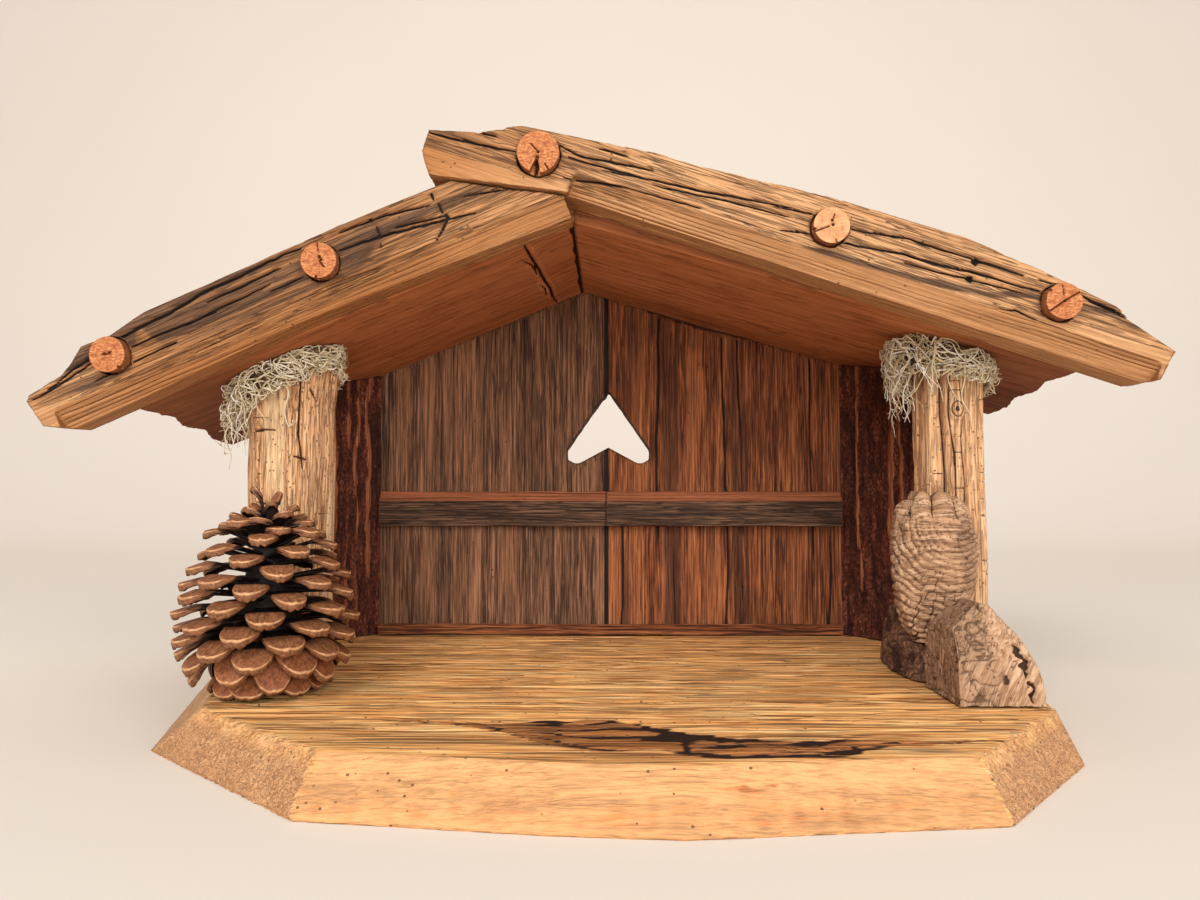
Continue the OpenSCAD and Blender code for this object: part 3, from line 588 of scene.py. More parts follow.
def slab_shape(q, n):
    """Combed top with a charred knot streak and painted shade towards its back, sawn bevels, and a worn
    lower edge.
    """
    x, y, z = q.T
    tilt = np.abs(n[:, 0])
    top = on_face(n, 2, 1, 0.9)
    front = on_face(n, 1, -1, 0.35) * (1 - ramp(tilt, 0.15, 0.3))
    side = ramp(tilt, 0.18, 0.34) * (1 - on_face(n, 2, -1, 0.7))
    combed = ramp(fibres(q, 90, 1.7, 3, 2, 6), -0.2, 0.5)
    checks = most(row_checks(x, y, 21, 3.3, 34, 0.50, 0.42) * ramp(y, -88, -70),
                  row_checks(x, y, 25, 2.3, 22, 0.50, 0.36) * ramp(y, -80, -50))
    swirl = fibres(q, 14, 4, 31, 3)
    streak, charred = (share * top for share in knot_streak(x, y, swirl))
    dips = fibres(q, 45, 14, 41, 2) * 0.25 + 0.3
    dents = ramp(fibres(q, 5, 5, 51, 1), 0.62, 0.8) * (front + side)
    lower_edge = ramp(z, 3.0, 0.0) * (1 - on_face(n, 2, -1, 0.8))
    depth = top * (combed * 0.32 + checks * 0.6 + charred * 0.5 + dips)
    depth = depth + front * (dips * 0.5 + dents * 0.3) + side * (0.1 + dips * 0.6)
    depth = depth + lower_edge * (0.3 + 0.4 * fibres(q, 16, 8, 71, 2)) * (1 - side)
    smudge = bell(x, 38, 13) * bell(z + swirl, 9, 1.3) * front * ramp(fibres(q, 9, 1.0, 73, 2), -0.3, 0.3)
    mottle = ramp(fibres(q, 9, 2.4, 75, 3), -0.25, 0.55) * ramp(z, 10, 5.5) * ramp(z, 0.8, 2.2)
    mottle = mottle * 0.10 + 0.10 + ramp(z, 11.5, 4) * 0.24 * ramp(z, 0.8, 2.5)
    sawn = 0.16 * noise_at(77, x / 1.1, 0, z / 9)
    # The last share, on the top and rising towards the back, is painted shade under the roof.
    stain = most(streak, smudge, front * (mottle + sawn), ramp(y, 10, 95) * 0.42 * top)
    stain = stain + side * ramp(fibres(q, 9, 7, 79, 2) + ramp(z, 8, 3) * 0.5, 0.1, 0.9) * 0.3
    dark = most(checks * top * 0.72, charred, smudge * ramp(swirl, -0.2, 0.4) * 0.62)
    rough = side * (0.60 + 0.40 * ramp(z, 12.5, 8.5))
    return np.clip(depth, 0, 2), marks(dark, stain, front * 0.9 + lower_edge * 0.3, rough)


# Back wall, rails and side walls

# The heart window's middle, half width and heights, as far as its rim is charred
WINDOW_X, WINDOW_HALF, WINDOW_LOW, WINDOW_HIGH = 2.0, 22.0, 84.0, 125.0


def back_shape(q, n, seed, groove, groove_dark, streak_dark):
    """Rough-sawn upright grain with deep grooves, and a charred rim round the heart window."""
    z, x = q[:, 0], q[:, 1]
    face = ramp(np.abs(n[:, 2]), 0.5, 0.8)
    edge = 1 - face
    combed = ramp(fibres(q, 120, 1.5, seed, 2, 4), -0.3, 0.6)
    grooves = row_checks(z, x, seed + 5, 7.5, 110, 0.50, 0.7 * groove)
    fine = most(row_checks(z, x, seed + 13, 2.3, 30, 0.42, 0.25),
                row_checks(z, x, seed + 17, 3.7, 55, 0.40, 0.40))
    depth = face * (combed * 0.35 + grooves * groove + fine * 0.45) + edge * (0.15 + combed * 0.2)
    beside = ramp(np.abs(x - WINDOW_X), WINDOW_HALF + 2, WINDOW_HALF - 2)
    level = ramp(z, WINDOW_LOW - 4, WINDOW_LOW + 4) * ramp(z, WINDOW_HIGH + 3, WINDOW_HIGH - 3)
    rim = edge * beside * level
    stain = most(ramp(fibres(q, 220, 6, seed + 3, 3), 0.15, 0.75) * streak_dark, rim)
    joint = ramp(np.abs(x - JOINT_X), 1.6, 0.6)
    depth = np.clip(depth, 0, 1.6)
    depth = np.where(edge > 0.5, depth * (1 - joint) - JOINT_LAP * joint, depth)
    under_roof = on_face(n, 0, 1, 0.7)
    depth = depth * (1 - under_roof) - 0.3 * under_roof
    dark = most(grooves * face * groove_dark, fine * face * 0.58, joint * 0.8)
    return depth, marks(dark, stain, ramp(fibres(q, 200, 7, seed + 11, 2), 0.05, 0.7) * 0.5)


def rail_shape(q, n, seed):
    """Weathered rail: grooves along it and a redder worn slope on top."""
    combed = ramp(fibres(q, 60, 1.1, seed, 2, 3), -0.3, 0.5)
    checks = row_checks(q[:, 0], q[:, 1] + q[:, 2] * 0.7, seed + 4, 1.7, 30, 0.5, 0.3)
    slope = on_face(n, 1, 1, 0.45)
    end = ramp(np.abs(n[:, 0]), 0.5, 0.8)
    depth = (1 - end) * (combed * 0.3 + checks * 0.5) + 0.1 + slope * 0.2 * fibres(q, 12, 4, seed + 8, 1)
    return np.clip(depth, 0, 1), marks(checks * 0.62, combed * 0.3, slope * 0.9 + end * 0.5)


def bark_shape(q, n, seed, strips, ripple):
    """Bark with rough plates and upright strips, each (place, half width), of bare orange wood."""
    z, v = q[:, 0], q[:, 1]
    face = ramp(np.abs(n[:, 2]), 0.5, 0.8)
    rough = fibres(q, 7, 1.2, seed + 6, 2) * 0.7
    bare = 0.0
    for at, half in strips:
        strip = 1 - ramp(np.abs(v - at + noise_at(seed, z / 22, at) * 1.6) + rough, half * 0.6, half + 0.6)
        bare = most(bare, strip * ramp(noise_at(seed + 7, z / 26, at * 3.3), -0.75, -0.2))
    bark = 1 - bare
    plates, crumbs = fibres(q, 5, 2.6, seed + 1, 3), fibres(q, 2.6, 1.4, seed + 4, 2)
    ribs = np.abs(fibres(q, 90, 6, seed + 2, 1, 30))
    depth = face * bark * (0.9 + plates * 0.6 + crumbs * 0.6 + ramp(ribs, 0.3, 0.0) * ripple) + 0.1
    stain = ramp(plates, 0.1, 0.7) * bark * 0.6
    shares = marks(ramp(ribs, 0.12, 0.0) * bark * 0.7, stain, bare * face + (1 - face) * 0.35)
    return np.clip(depth, 0, 2.4), shares


# Roof boards

SEAM = [
    (1.5, (19.0, -24), (18.4, -6), (17.4, 12), (16.2, 30), (15.6, 44), (14.2, 62), (14.0, 78), (12.6, 100)),
    (0.9, (21.5, 8), (18.0, 22), (17.2, 38)),
    (0.8, (17.8, 48), (16.2, 60), (16.6, 74)),
    (0.6, (20.0, 64), (15.4, 70)),
    (0.6, (19.2, 80), (14.2, 86)),
]


def torn_seam(q, seed):
    """The left board's torn seam: its depth, its split, the board past it, and its bare splinters."""
    u, y = q[:, 0], q[:, 2]
    split = cracks(q[:, [0, 2, 1]], SEAM, seed + 12)
    line_u = np.interp(y, [p[1] for p in SEAM[0][1:]], [p[0] for p in SEAM[0][1:]])
    torn = fibres(q, 4, 2.2, seed + 9, 2)
    flap = bell(u - line_u, -1.8, 1.3)
    splinters = bell(u - line_u, 1.6, 2.2) * ramp(y, 5, 60) * ramp(torn, -0.1, 0.25)
    past = ramp(u, line_u, line_u - 1.5)
    depth = split + past * 0.3 - flap * (0.6 + torn * 0.3) - splinters * 0.7
    return depth, split, past, most(flap * 0.5, splinters)


def roof_shape(q, n, seed, length, seamed, glint_lines, back_shade):
    """Smooth stained underside with painted shade towards the back, at the eave and on the front edge face,
    painted glints on its pale lines, a grey weathered top, browner sawn edges, and a torn eave.
    """
    u, _, y = q.T
    under, top, front = on_face(n, 1, -1, 0.8), on_face(n, 1, 1, 0.8), on_face(n, 2, -1, 0.6)
    hairs = fibres(q, 70, 1.4, seed, 2)
    checks = row_checks(u, y, seed + 3, 3.4, 40, 0.42, 0.30)
    depth = under * (0.12 + hairs * 0.07) + top * (0.4 + hairs * 0.25 + checks * 0.9)
    depth = depth + ramp(u, length - 14, length + 2) * (0.3 + 0.25 * fibres(q, 6, 4, seed + 6, 2))
    # Painted shade on the underside: darker towards the back and towards the eave's end.
    stain = under * (ramp(y, 20, 95) * back_shade + ramp(u, length - 70, length - 20) * 0.62)
    row = off_line((y + 1.5 * noise_at(seed + 8, u / 30, 0, y / 12)) / 5.5)
    lined = under * ramp(y, 12, 40) * glint_lines
    depth = depth + ramp(row, 0.6, 0.95) * lined * 0.4
    # The pale lines, given the worn colour, are painted glints.
    bare = ramp(row, 0.40, 0.14) * ramp(fibres(q, 60, 9, seed + 10, 1), -0.3, 0.2) * lined * ramp(u, 130, 30)
    gap = 0.0
    if seamed:
        ragged = 0.8 + 0.9 * np.abs(noise_at(seed + 14, y / 8))
        gap = ramp(np.abs(u), ragged + 0.8, ragged) * under
        sunk, split, past, splinters = (share * under for share in torn_seam(q, seed))
        depth = depth + gap * 0.5 + sunk
        stain = most(stain, past * 0.30)
        bare = most(bare, splinters)
        gap = most(gap, split)
    sawn = (1 - top) * (1 - under) * (1 - front)
    # The front edge face's share is painted shade, matching the shaded underside.
    stain = most(stain, front * 0.6, sawn * 0.35)
    depth = depth * (1 - under * ramp(y, 90, 93))
    return np.clip(depth, -1.1, 2.2), marks(most(checks * top * 0.9, gap), stain, bare, top + sawn * 0.65)


# Front beams

LEFT_CRACKS = [
    (1.4, (175, 14), (167, 16.6), (147, 20.1), (125, 22.1), (102, 23.3), (84, 24.0)),
    (0.9, (146, 15.8), (131, 16.3), (116, 15.2)),
    (1.1, (74, 18.5), (59, 17.4), (28, 13.0)),
    (0.8, (71, 23.8), (56, 23.2), (41, 20.7)),
    (0.9, (180, 12.5), (159, 16.3)),
    (0.7, (127, 15.5), (97, 17.0)),
    (0.6, (98, 14.8), (87, 15.0)),
    (0.7, (54, 18.3), (37, 15.6)),
    (0.6, (160, 10.5), (132, 12.0)),
    (0.8, (118, 19.5), (92, 20.5)),
    (1.3, (39, 24.0), (38, 19), (37, 14.5), (41, 11), (43, 9.3)),
    (1.3, (60, 23.8), (59, 19), (60, 14.1)),
    (0.6, (30, 19.5), (14, 15.5)),
]
RIGHT_CRACKS = [
    (0.9, (-50, 4.4), (-34, 6.1), (-21, 7.6)),
    (1.0, (-8, 13.3), (-2, 12.4), (14, 13.9), (22, 14.8)),
    (0.8, (3, 16.5), (13, 16.8)),
    (0.8, (-5, 10.8), (7, 11.1), (23, 11.8)),
    (0.9, (7, 10.0), (38, 13.7), (66, 17.3)),
    (0.7, (-35, 9.7), (-29, 10.3)),
    (0.7, (23, 10.4), (46, 13.1), (67, 14.3)),
    (0.8, (-4, 4.2), (17, 6.7), (40, 8.5)),
    (0.6, (63, 16.3), (74, 17.6)),
    (0.8, (86, 16.9), (105, 19.2), (122, 19.6), (129, 19.2), (142, 19.8)),
    (1.0, (82, 11.9), (105, 13.9), (129, 15.6), (151, 16.6)),
    (0.7, (106, 11.6), (124, 12.9), (130, 13.1), (143, 14.4)),
    (0.6, (138, 6.6), (143, 8.5), (152, 6.8), (159, 6.7)),
    (1.5, (161, 19.0), (173, 17.6), (181, 15.2)),
    (0.5, (66, 9.5), (75, 11.4)),
    (0.7, (147, 19.8), (163, 19.0)),
]


def left_stain(u, v):
    """Soot-dark upper part between the pegs, greyer towards the ridge."""
    edge = np.interp(u, [0, 25, 40, 59, 67, 103, 115, 135, 141, 148, 162, 176, 183],
                     [15, 14, 16, 16, 10, 7, 8, 10, 19, 9, 8, 11, 20])
    share = np.interp(u, [0, 40, 60, 90, 130, 165, 185], [0.55, 0.6, 0.9, 0.85, 1, 0.95, 0.5])
    return ramp(v - edge, -1.5, 2.5) * share


def right_stain_and_shade(u, v):
    """A narrow burnt line low on the face that climbs to the beam's end, and painted shade over the tail at
    its ridge end.
    """
    line = np.interp(u, [70, 83, 94, 109, 132, 150, 162, 171, 181],
                     [6.5, 7.2, 7.7, 8.9, 11.4, 14.1, 15.5, 16.8, 16.4])
    half = np.interp(u, [70, 83, 94, 140, 160, 185], [0, 0.9, 1.1, 1.1, 2.2, 2.0])
    burnt = ramp(1 - np.abs(v - line) / (half + 0.01), 0, 0.5) * ramp(u, 68, 80) * ramp(u, 187, 180)
    # The second term is painted shade on the part towards the ridge end.
    return most(burnt, ramp(u, -14, -38) * 0.5)


def nail_holes(q, n, places):
    """Small round holes at (u, v) places of the front face."""
    away = [np.hypot(q[:, 0] - u, q[:, 1] - v) for u, v in places]
    return sum(1 - ramp(a, 0.8, 1.6) for a in away) * on_face(n, 2, -1)


def beam_shape(q, n, seed, lines, stain_and_shade_at, worn_edge, nails_at, pale, shine):
    """Weathered beam: long cracks, fine checks, a stain that is painted shade at the right beam's ridge end,
    and layered wood with a painted sheen along its worn lower edge.
    """
    u, v, w = q.T
    front, top = on_face(n, 2, -1, 0.75), on_face(n, 1, 1, 0.6)
    body, lower = 1 - ramp(np.abs(n[:, 0]), 0.6, 0.85), ramp(-n[:, 1], 0.2, 0.5)
    long = cracks(q, lines, seed, 0.8) * most(front, top * 0.3) * ramp(w, -10, -16)
    warp = fibres(q, 40, 4, seed + 2, 2)
    bare = ramp(np.interp(u, *worn_edge) - v + warp * 1.8, -1.0, 1.2)
    turned = v - w * 0.8
    checks = most(row_checks(u, turned, seed + 4, 2.1, 14, 0.36, 0.20),
                  row_checks(u, turned, seed + 5, 3.1, 26, 0.36, 0.32)) * (1 - bare)
    layer = off_line((v + warp * 0.5 - 0.35 * w + 0.25 * noise_at(seed + 3, u / 40, v, w)) / 1.5)
    layers = ramp(layer, 0.66, 0.92) * bare * body * most(lower, 0.35)
    layers = layers * ramp(fibres(q, 90, 2.5, seed + 7, 1), -0.5, 0.0)
    combed = ramp(fibres(q, 70, 1.3, seed + 6, 2, 3), -0.2, 0.6)
    nails = nail_holes(q, n, nails_at)
    depth = 0.25 + fibres(q, 26, 8, seed + 8, 2) * 0.15 + combed * 0.14 + checks * 0.45 * body
    depth = depth + layers * 0.5 + long * 1.6 + nails * 2.5
    depth = depth + top * np.maximum(0, fibres(q, 9, 6, seed + 10, 2)) * 0.9
    streak = 0.75 + 0.5 * fibres(q, 55, 1.8, seed + 12, 2)
    stain = stain_and_shade_at(u, v + warp * 2.2) * streak * (1 - bare * 0.7) * (0.5 + 0.5 * body)
    dark = most(long, checks * 0.58, layers * 0.58, nails)
    paler = np.interp(u, *pale) * body * (1 - 0.6 * lower) * (1 + 0.4 * bare)
    # A painted sheen: a pale band along the lower edge.
    wear_and_sheen = bell(v, 2.0, 1.6) * np.interp(u, *shine) * body
    return np.clip(depth, 0, 3), marks(dark, most(stain, (1 - body) * 0.35), bare, most(paler, wear_and_sheen))


# Pegs

def peg_shape(q, n, seed, pale, sweeps, pith):
    """A sawn branch slice: radial drying cracks, pith holes and a slightly uneven rim."""
    x, y, _ = q.T
    r, angle = np.hypot(x, y), np.arctan2(y, x)
    face = on_face(n, 2, -1, 0.7)
    crack = 0.0
    for at, half, start, stop in sweeps:
        turn = (angle - math.radians(at) + math.pi) % (2 * math.pi) - math.pi
        away = np.abs(turn) * r + 5 * (np.cos(turn) < 0)
        near = 1 - ramp(away, half * 0.5, half + 0.15)
        crack = most(crack, near * ramp(r, start - 0.4, start) * ramp(r, stop + 0.4, stop))
    for hole_x, hole_y in pith:
        crack = most(crack, 1 - ramp(np.hypot(x - hole_x, y - hole_y), 0.25, 0.6))
    rough = fibres(q, 1.6, 1.6, seed, 2)
    rim = (1 - face) * (0.1 + 0.15 * noise_at(seed, angle * 2))
    depth = 0.12 + rough * 0.1 + crack * face * 1.2 + rim
    return np.clip(depth, 0, 1.5), marks(crack * face, (1 - face) * 0.8, pale * (0.7 + rough * 0.4) * face)


# Each peg's paleness, its cracks as (angle, half width, from radius, to radius), and its pith holes
PEGS = {
    "peg_left_lower": (0, [(180, 0.12, 0.2, 1.6), (35, 0.10, 0.3, 1.4)], [(-0.9, 0.2), (0.5, 0.4)]),
    "peg_left_upper": (0, [(-50, 0.14, 0.4, 2.6), (95, 0.08, 3, 5.6)], [(0.6, 0.3), (0.2, 1.2)]),
    "peg_ridge": (0, [(-97, 0.5, 1.6, 6.8), (-60, 0.12, 4.5, 6.8), (130, 0.10, 0.8, 3.4)], [(0, 0)]),
    "peg_right_upper": (0.7, [(200, 0.16, 1.0, 5.8), (75, 0.08, 1.5, 3.6), (-75, 0.10, 4.6, 5.8)],
                        [(0.4, 0.2), (0.2, 1.6)]),
    "peg_right_lower": (0, [(215, 0.14, 0.2, 5.8), (30, 0.14, 0.2, 5.8), (95, 0.08, 1.8, 4.8)], [(0.2, 0)]),
}


def make_pegs():
    for k, (node, details) in enumerate(PEGS.items()):
        low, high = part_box(node)
        grain = (RAIL_GRAIN[0], np.array((low + high) / 2 / MM))
        carve(node, "peg_wood", grain, 0.22, 1.0, peg_shape, 200 + 7 * k, *details)


# Posts

def skin_of(q, cx, radius):
    """Grain coordinates of a log's skin rolled out flat, and the angle round the log."""
    angle = np.arctan2(q[:, 2] - POST_Y, q[:, 1] - cx)
    return np.stack([q[:, 0], angle * radius, np.full(len(q), radius)], 1), angle


# The left post's cracks, with places across counted from the middle of its front
POST_CRACKS = [
    (1.7, (128, -2.2), (100, -1.6), (80, 0.2), (64, 0.8), (30, 0.4)),
    (0.5, (119, 8), (96, 7), (84, 9)),
    (0.5, (104, -8), (70, -7)),
    (0.7, (112, 11), (107, 14.5)),
]
POST_CROSS_CRACKS = [
    (0.6, (97, -11.5), (97.5, -3)),
    (0.5, (72, -9), (71, 0)),
    (0.5, (88, 6), (87, 10)),
    (0.5, (60, 2), (60, 7)),
]


def left_post_shape(q, n):
    """Peeled log: one long crack in front, fine upright checks and short cross checks."""
    skin, _ = skin_of(q, POST_LEFT_X, POST_LEFT_R)
    u, v = skin[:, 0], skin[:, 1]
    face = ramp(np.abs(n[:, 0]), 0.7, 0.4)
    at_front = skin + [0, math.pi / 2 * POST_LEFT_R, 0]
    deep = most(cracks(at_front, POST_CRACKS, 5), cracks(at_front, POST_CROSS_CRACKS, 6)) * face
    checks = most(row_checks(u, v, 311, 2.2, 11, 0.42, 0.25),
                  row_checks(u, v, 313, 3.4, 20, 0.36, 0.4)) * face
    cross = row_checks(v, u, 321, 4.6, 4, 0.26, 0.25) * face
    depth = 0.35 + fibres(skin, 60, 3.4, 301, 2) * 0.3 + checks * 0.35 + cross * 0.35 + deep * 2.2
    worn = ramp(fibres(skin, 50, 8, 331, 1), 0.0, 0.6) * 0.7
    return np.clip(depth, 0, 2.8), marks(most(deep, checks * 0.56, cross * 0.62), 0, worn)


RIB_PITCH = 4.4
KNOT_Z, KNOT_TURN = 104.5, math.pi / 2 + 0.10


def right_post_shape(q, n):
    """A root-like post: upright ribs with dark seams, crossed by short cracks, and one knot."""
    skin, angle = skin_of(q, POST_RIGHT_X, POST_RIGHT_R)
    z, beside = q[:, 0], skin[:, 1] + POST_RIGHT_R * KNOT_TURN
    face = ramp(np.abs(n[:, 0]), 0.7, 0.4)
    away = np.hypot((z - KNOT_Z) * 0.8, beside)
    bend = bell(away, 0, 7) * np.sign(beside) * 2.0
    rib_at = (skin[:, 1] - bend + noise_at(341, z / 26, angle * 1.5) * 1.6) / RIB_PITCH
    rib, which = off_line(rib_at), np.round(rib_at)
    boss = ramp(away, 4.2, 2.2)
    seam = ramp(rib, 0.72, 0.98)
    cross = ramp(off_line(z / 3.4 + which * 0.37 + noise_at(351, z / 9, which) * 0.5), 0.10, 0.02)
    cracked = ((which.astype(int) * 7919) % 5 < 3) * ramp(noise_at(361, z / 20, which * 1.7), -0.3, 0.1)
    cross = cross * cracked * (1 - seam) * (1 - boss)
    seam = seam * (1 - boss)
    eye = 1 - ramp(away, 0.5, 1.0)
    circle = (1 - ramp(np.abs(away - 2.1), 0.15, 0.6)) * 0.66
    depth = 1.0 + rib ** 2 * 0.9 * (1 - boss) + seam * 0.9 + cross * 0.5 - boss * 0.9 + eye * 0.7
    depth = depth + circle * 0.4 + fibres(skin, 30, 1.8, 371, 2) * 0.15
    dark = most(seam * 0.85, cross * 0.75, eye, circle) * face
    tone = ramp(noise_at(381, which * 1.3, 0, z / 60), -0.2, 0.6)
    return np.clip(depth * face + 0.1, 0, 2.4), marks(dark, tone * 0.58, (1 - tone) * 0.4)


# Driftwood

BURL_RIDGE = 2.2
BURL_HEAD = (6, 15)


def centred(q, node):
    """Places across and up from the middle of a node, for the flat grain."""
    low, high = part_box(node)
    mid = (low + high) / 2 / MM
    return q[:, 0] - mid.x, q[:, 2] - mid.z


def burl_shape(q, _):
    """Growth ridges in rings round the burl's head, crossed by crackle, with curled lobes on top whose deep
    gaps are painted dark as shade.
    """
    x, z = centred(q, "driftwood_burl")
    from_x, from_z = x - BURL_HEAD[0], z - BURL_HEAD[1]
    r = np.hypot(from_x, from_z) + fibres(q, 9, 9, 401, 2) * 1.6
    turn, band = np.arctan2(from_z, from_x), np.round(r / BURL_RIDGE)
    ridge = 0.5 + 0.5 * np.cos(r * 2 * math.pi / BURL_RIDGE)
    crackle = ramp(off_line(turn * 7 + band * 0.43 + noise_at(411, turn * 4, band) * 0.5), 0.16, 0.03)
    crackle = crackle * ramp(noise_at(421, turn * 3, r / 9), -0.5, 0.0)
    lobes = ramp(z, 12, 19)
    curl = np.abs(np.sin(x * 0.42 + 0.6 + noise(q / 7, 431))) ** 0.6
    depth = 0.3 + (1 - ridge) ** 2 * 0.7 * (1 - lobes) + crackle * 0.6 + lobes * (1 - curl) * 3.2
    depth = depth + fibres(q, 4, 4, 441, 2) * 0.2
    # The dark between the curled lobes is painted shade in their deep gaps.
    dark = most(ramp(ridge, 0.12, 0.0) * 0.62 * (1 - lobes), crackle * 0.7, lobes * ramp(curl, 0.35, 0.1))
    return np.clip(depth, 0, 4), marks(dark, ramp(fibres(q, 12, 12, 451, 2), 0.3, 0.9) * 0.5, ridge * 0.35)


BLOCK_SLOTS = [(2.4, (22.5, 122.5), (27, 121.5), (31, 119.8)), (1.6, (15.5, 124.0), (21, 123.2))]


def block_shape(q, n):
    """Old wood with brain-like wrinkles on its left, waves and gouges on its right, and open slots."""
    x, y, z = q.T
    left = ramp(centred(q, "driftwood_block")[0] + fibres(q, 8, 8, 461, 1) * 2, 4, -2)
    right = 1 - left
    worms = 1 - ramp(np.abs(fibres(q, 4.2, 2.8, 471, 2)), 0.04, 0.26)
    leaning = np.stack([x * 0.45 + z * 0.9, x * 0.9 - z * 0.45, y], 1)
    waves = 1 - ramp(np.abs(fibres(leaning, 26, 2.4, 481, 1, 5)), 0.03, 0.25)
    gouge = ramp(fibres(q, 4, 3, 491, 2), 0.85, 1.0) * right
    upright = np.stack([z, x + fibres(q, 2.4, 1.6, 496, 2) * 1.3, y], 1)
    slots = cracks(upright, BLOCK_SLOTS, 7) * on_face(n, 1, -1, 0.3)
    depth = 0.4 + left * worms * 0.6 + right * waves * 0.3 + gouge * 0.8 + slots * 1.8
    depth = depth + fibres(q, 10, 10, 501, 1) * 0.35
    spots = ramp(fibres(q, 2.2, 2.2, 511, 1), 0.7, 0.85) * left
    dark = most(worms * left * 0.6, waves * right * 0.22, gouge, slots)
    return np.clip(depth, 0, 3), marks(dark, most(left * 0.45, spots), right * 0.4)


def root_shape(q, _):
    """Knobbly dark root with curled grooves, stained in its hollows and paler on its knobs."""
    curls = 1 - ramp(np.abs(fibres(q, 6, 3.6, 521, 2)), 0.04, 0.3)
    knobs = fibres(q, 9, 7, 531, 2)
    shares = marks(curls * 0.6, ramp(knobs, 0.0, 0.6) * 0.9, ramp(-knobs, 0.2, 0.8) * 0.4)
    return np.clip(0.5 + curls * 0.7 + knobs * 0.5, 0, 2.4), shares


# Lichen

TUBE_SIDES = 5
HANG_EVERY = 12


def tube(points, radii):
    """Points and faces of a thin closed tube along a path."""
    rings, faces = [], []
    side = None
    for k, p in enumerate(points):
        ahead = (points[min(k + 1, len(points) - 1)] - points[max(k - 1, 0)]).normalized()
        side = ahead.orthogonal() if side is None else side - ahead * side.dot(ahead)
        side.normalize()
        other = ahead.cross(side)
        for i in range(TUBE_SIDES):
            a = 2 * math.pi * i / TUBE_SIDES
            rings.append(p + (side * math.cos(a) + other * math.sin(a)) * radii[k])
    for start in range(0, len(rings) - TUBE_SIDES, TUBE_SIDES):
        for i in range(TUBE_SIDES):
            a, b = start + i, start + (i + 1) % TUBE_SIDES
            faces.append((a, b, b + TUBE_SIDES, a + TUBE_SIDES))
    faces.append(tuple(reversed(range(TUBE_SIDES))))
    faces.append(tuple(range(len(rings) - TUBE_SIDES, len(rings))))
    return rings, faces


def roof_under(x):
    """Height of the roof boards' underside."""
    slope = SLOPE_LEFT if x < RIDGE_X else SLOPE_RIGHT
    return RIDGE_Z - abs(x - RIDGE_X) * math.tan(math.radians(slope))


def tuft_depth(angle, height):
    """How far a tuft reaches below the roof, which is the most at its left side."""
    return height * (0.62 + 0.38 * max(0.0, -math.cos(angle)) + 0.08 * math.sin(3 * angle))


def any_way(rng, spread):
    """A random vector, with that spread along each axis."""
    return Vector([rng.gauss(0, spread) for _ in range(3)])


def strand(rng, cx, inner, outer, height, hang):
    """One curling strand in the ring between the post's head and the tuft's rim, or hanging below it."""
    angle = rng.uniform(0, 2 * math.pi)
    if hang:
        angle = math.pi + rng.gauss(0, 0.75)
    lean = -math.cos(angle)
    outer += 4.0 * max(0.0, lean) - 2.2 * max(0.0, -lean)
    radius = rng.uniform(inner + 0.4, max(outer - 1.0, inner + 0.8))
    x, y = cx + radius * math.cos(angle), POST_Y + radius * math.sin(angle)
    p = Vector((x, y, roof_under(x) - 0.8 - tuft_depth(angle, height) * rng.uniform(0.0, 0.95)))
    out = Vector((math.cos(angle), math.sin(angle), 0))
    round_it = Vector((-math.sin(angle), math.cos(angle), 0)) * rng.choice((-1, 1))
    ahead = round_it * rng.uniform(0.5, 1.5) + out * rng.uniform(-0.2, 0.9)
    ahead.z += rng.uniform(-0.9, 0.8)
    ahead.normalize()
    axis = any_way(rng, 1).normalized()
    points = [p.copy()]
    for _ in range(rng.randint(6, 12) + (7 if hang else 0)):
        axis = (axis + any_way(rng, 0.45)).normalized()
        ahead = Matrix.Rotation(rng.uniform(0.1, 0.55 if hang else 0.42), 3, axis) @ ahead
        away = Vector((p.x - cx, p.y - POST_Y, 0))
        out = away.normalized()
        too_near, too_far = inner + 1.0 - away.length, away.length - outer + 1.5
        ahead += out * (max(0.0, too_near) * 0.5 - max(0.0, too_far) * 0.35)
        roof_z = roof_under(p.x) - 0.7
        floor_z = roof_z - tuft_depth(math.atan2(out.y, out.x), height) * (2.4 if hang else 1.0)
        lift = max(0.0, floor_z - p.z) * 0.5 - max(0.0, p.z - roof_z + 1.0) * 0.5
        ahead.z += lift - (0.30 if hang else 0.0)
        ahead.normalize()
        p = p + ahead * rng.uniform(1.0, 1.6)
        away = Vector((p.x - cx, p.y - POST_Y, 0))
        if away.length < inner:
            away = away.normalized() * inner
        p = Vector((cx + away.x, POST_Y + away.y, min(p.z, roof_under(cx + away.x) - 0.6)))
        points.append(p.copy())
    return points


def fork_of(rng, path):
    """A short side branch of a strand."""
    fork = [path[rng.randint(1, len(path) - 2)]]
    ahead = (path[-1] - fork[0]).normalized()
    for _ in range(rng.randint(2, 4)):
        ahead = (ahead + any_way(rng, 0.6)).normalized()
        step = fork[-1] + ahead * 0.9
        step.z = min(step.z, roof_under(step.x) - 0.6)
        fork.append(step)
    return fork


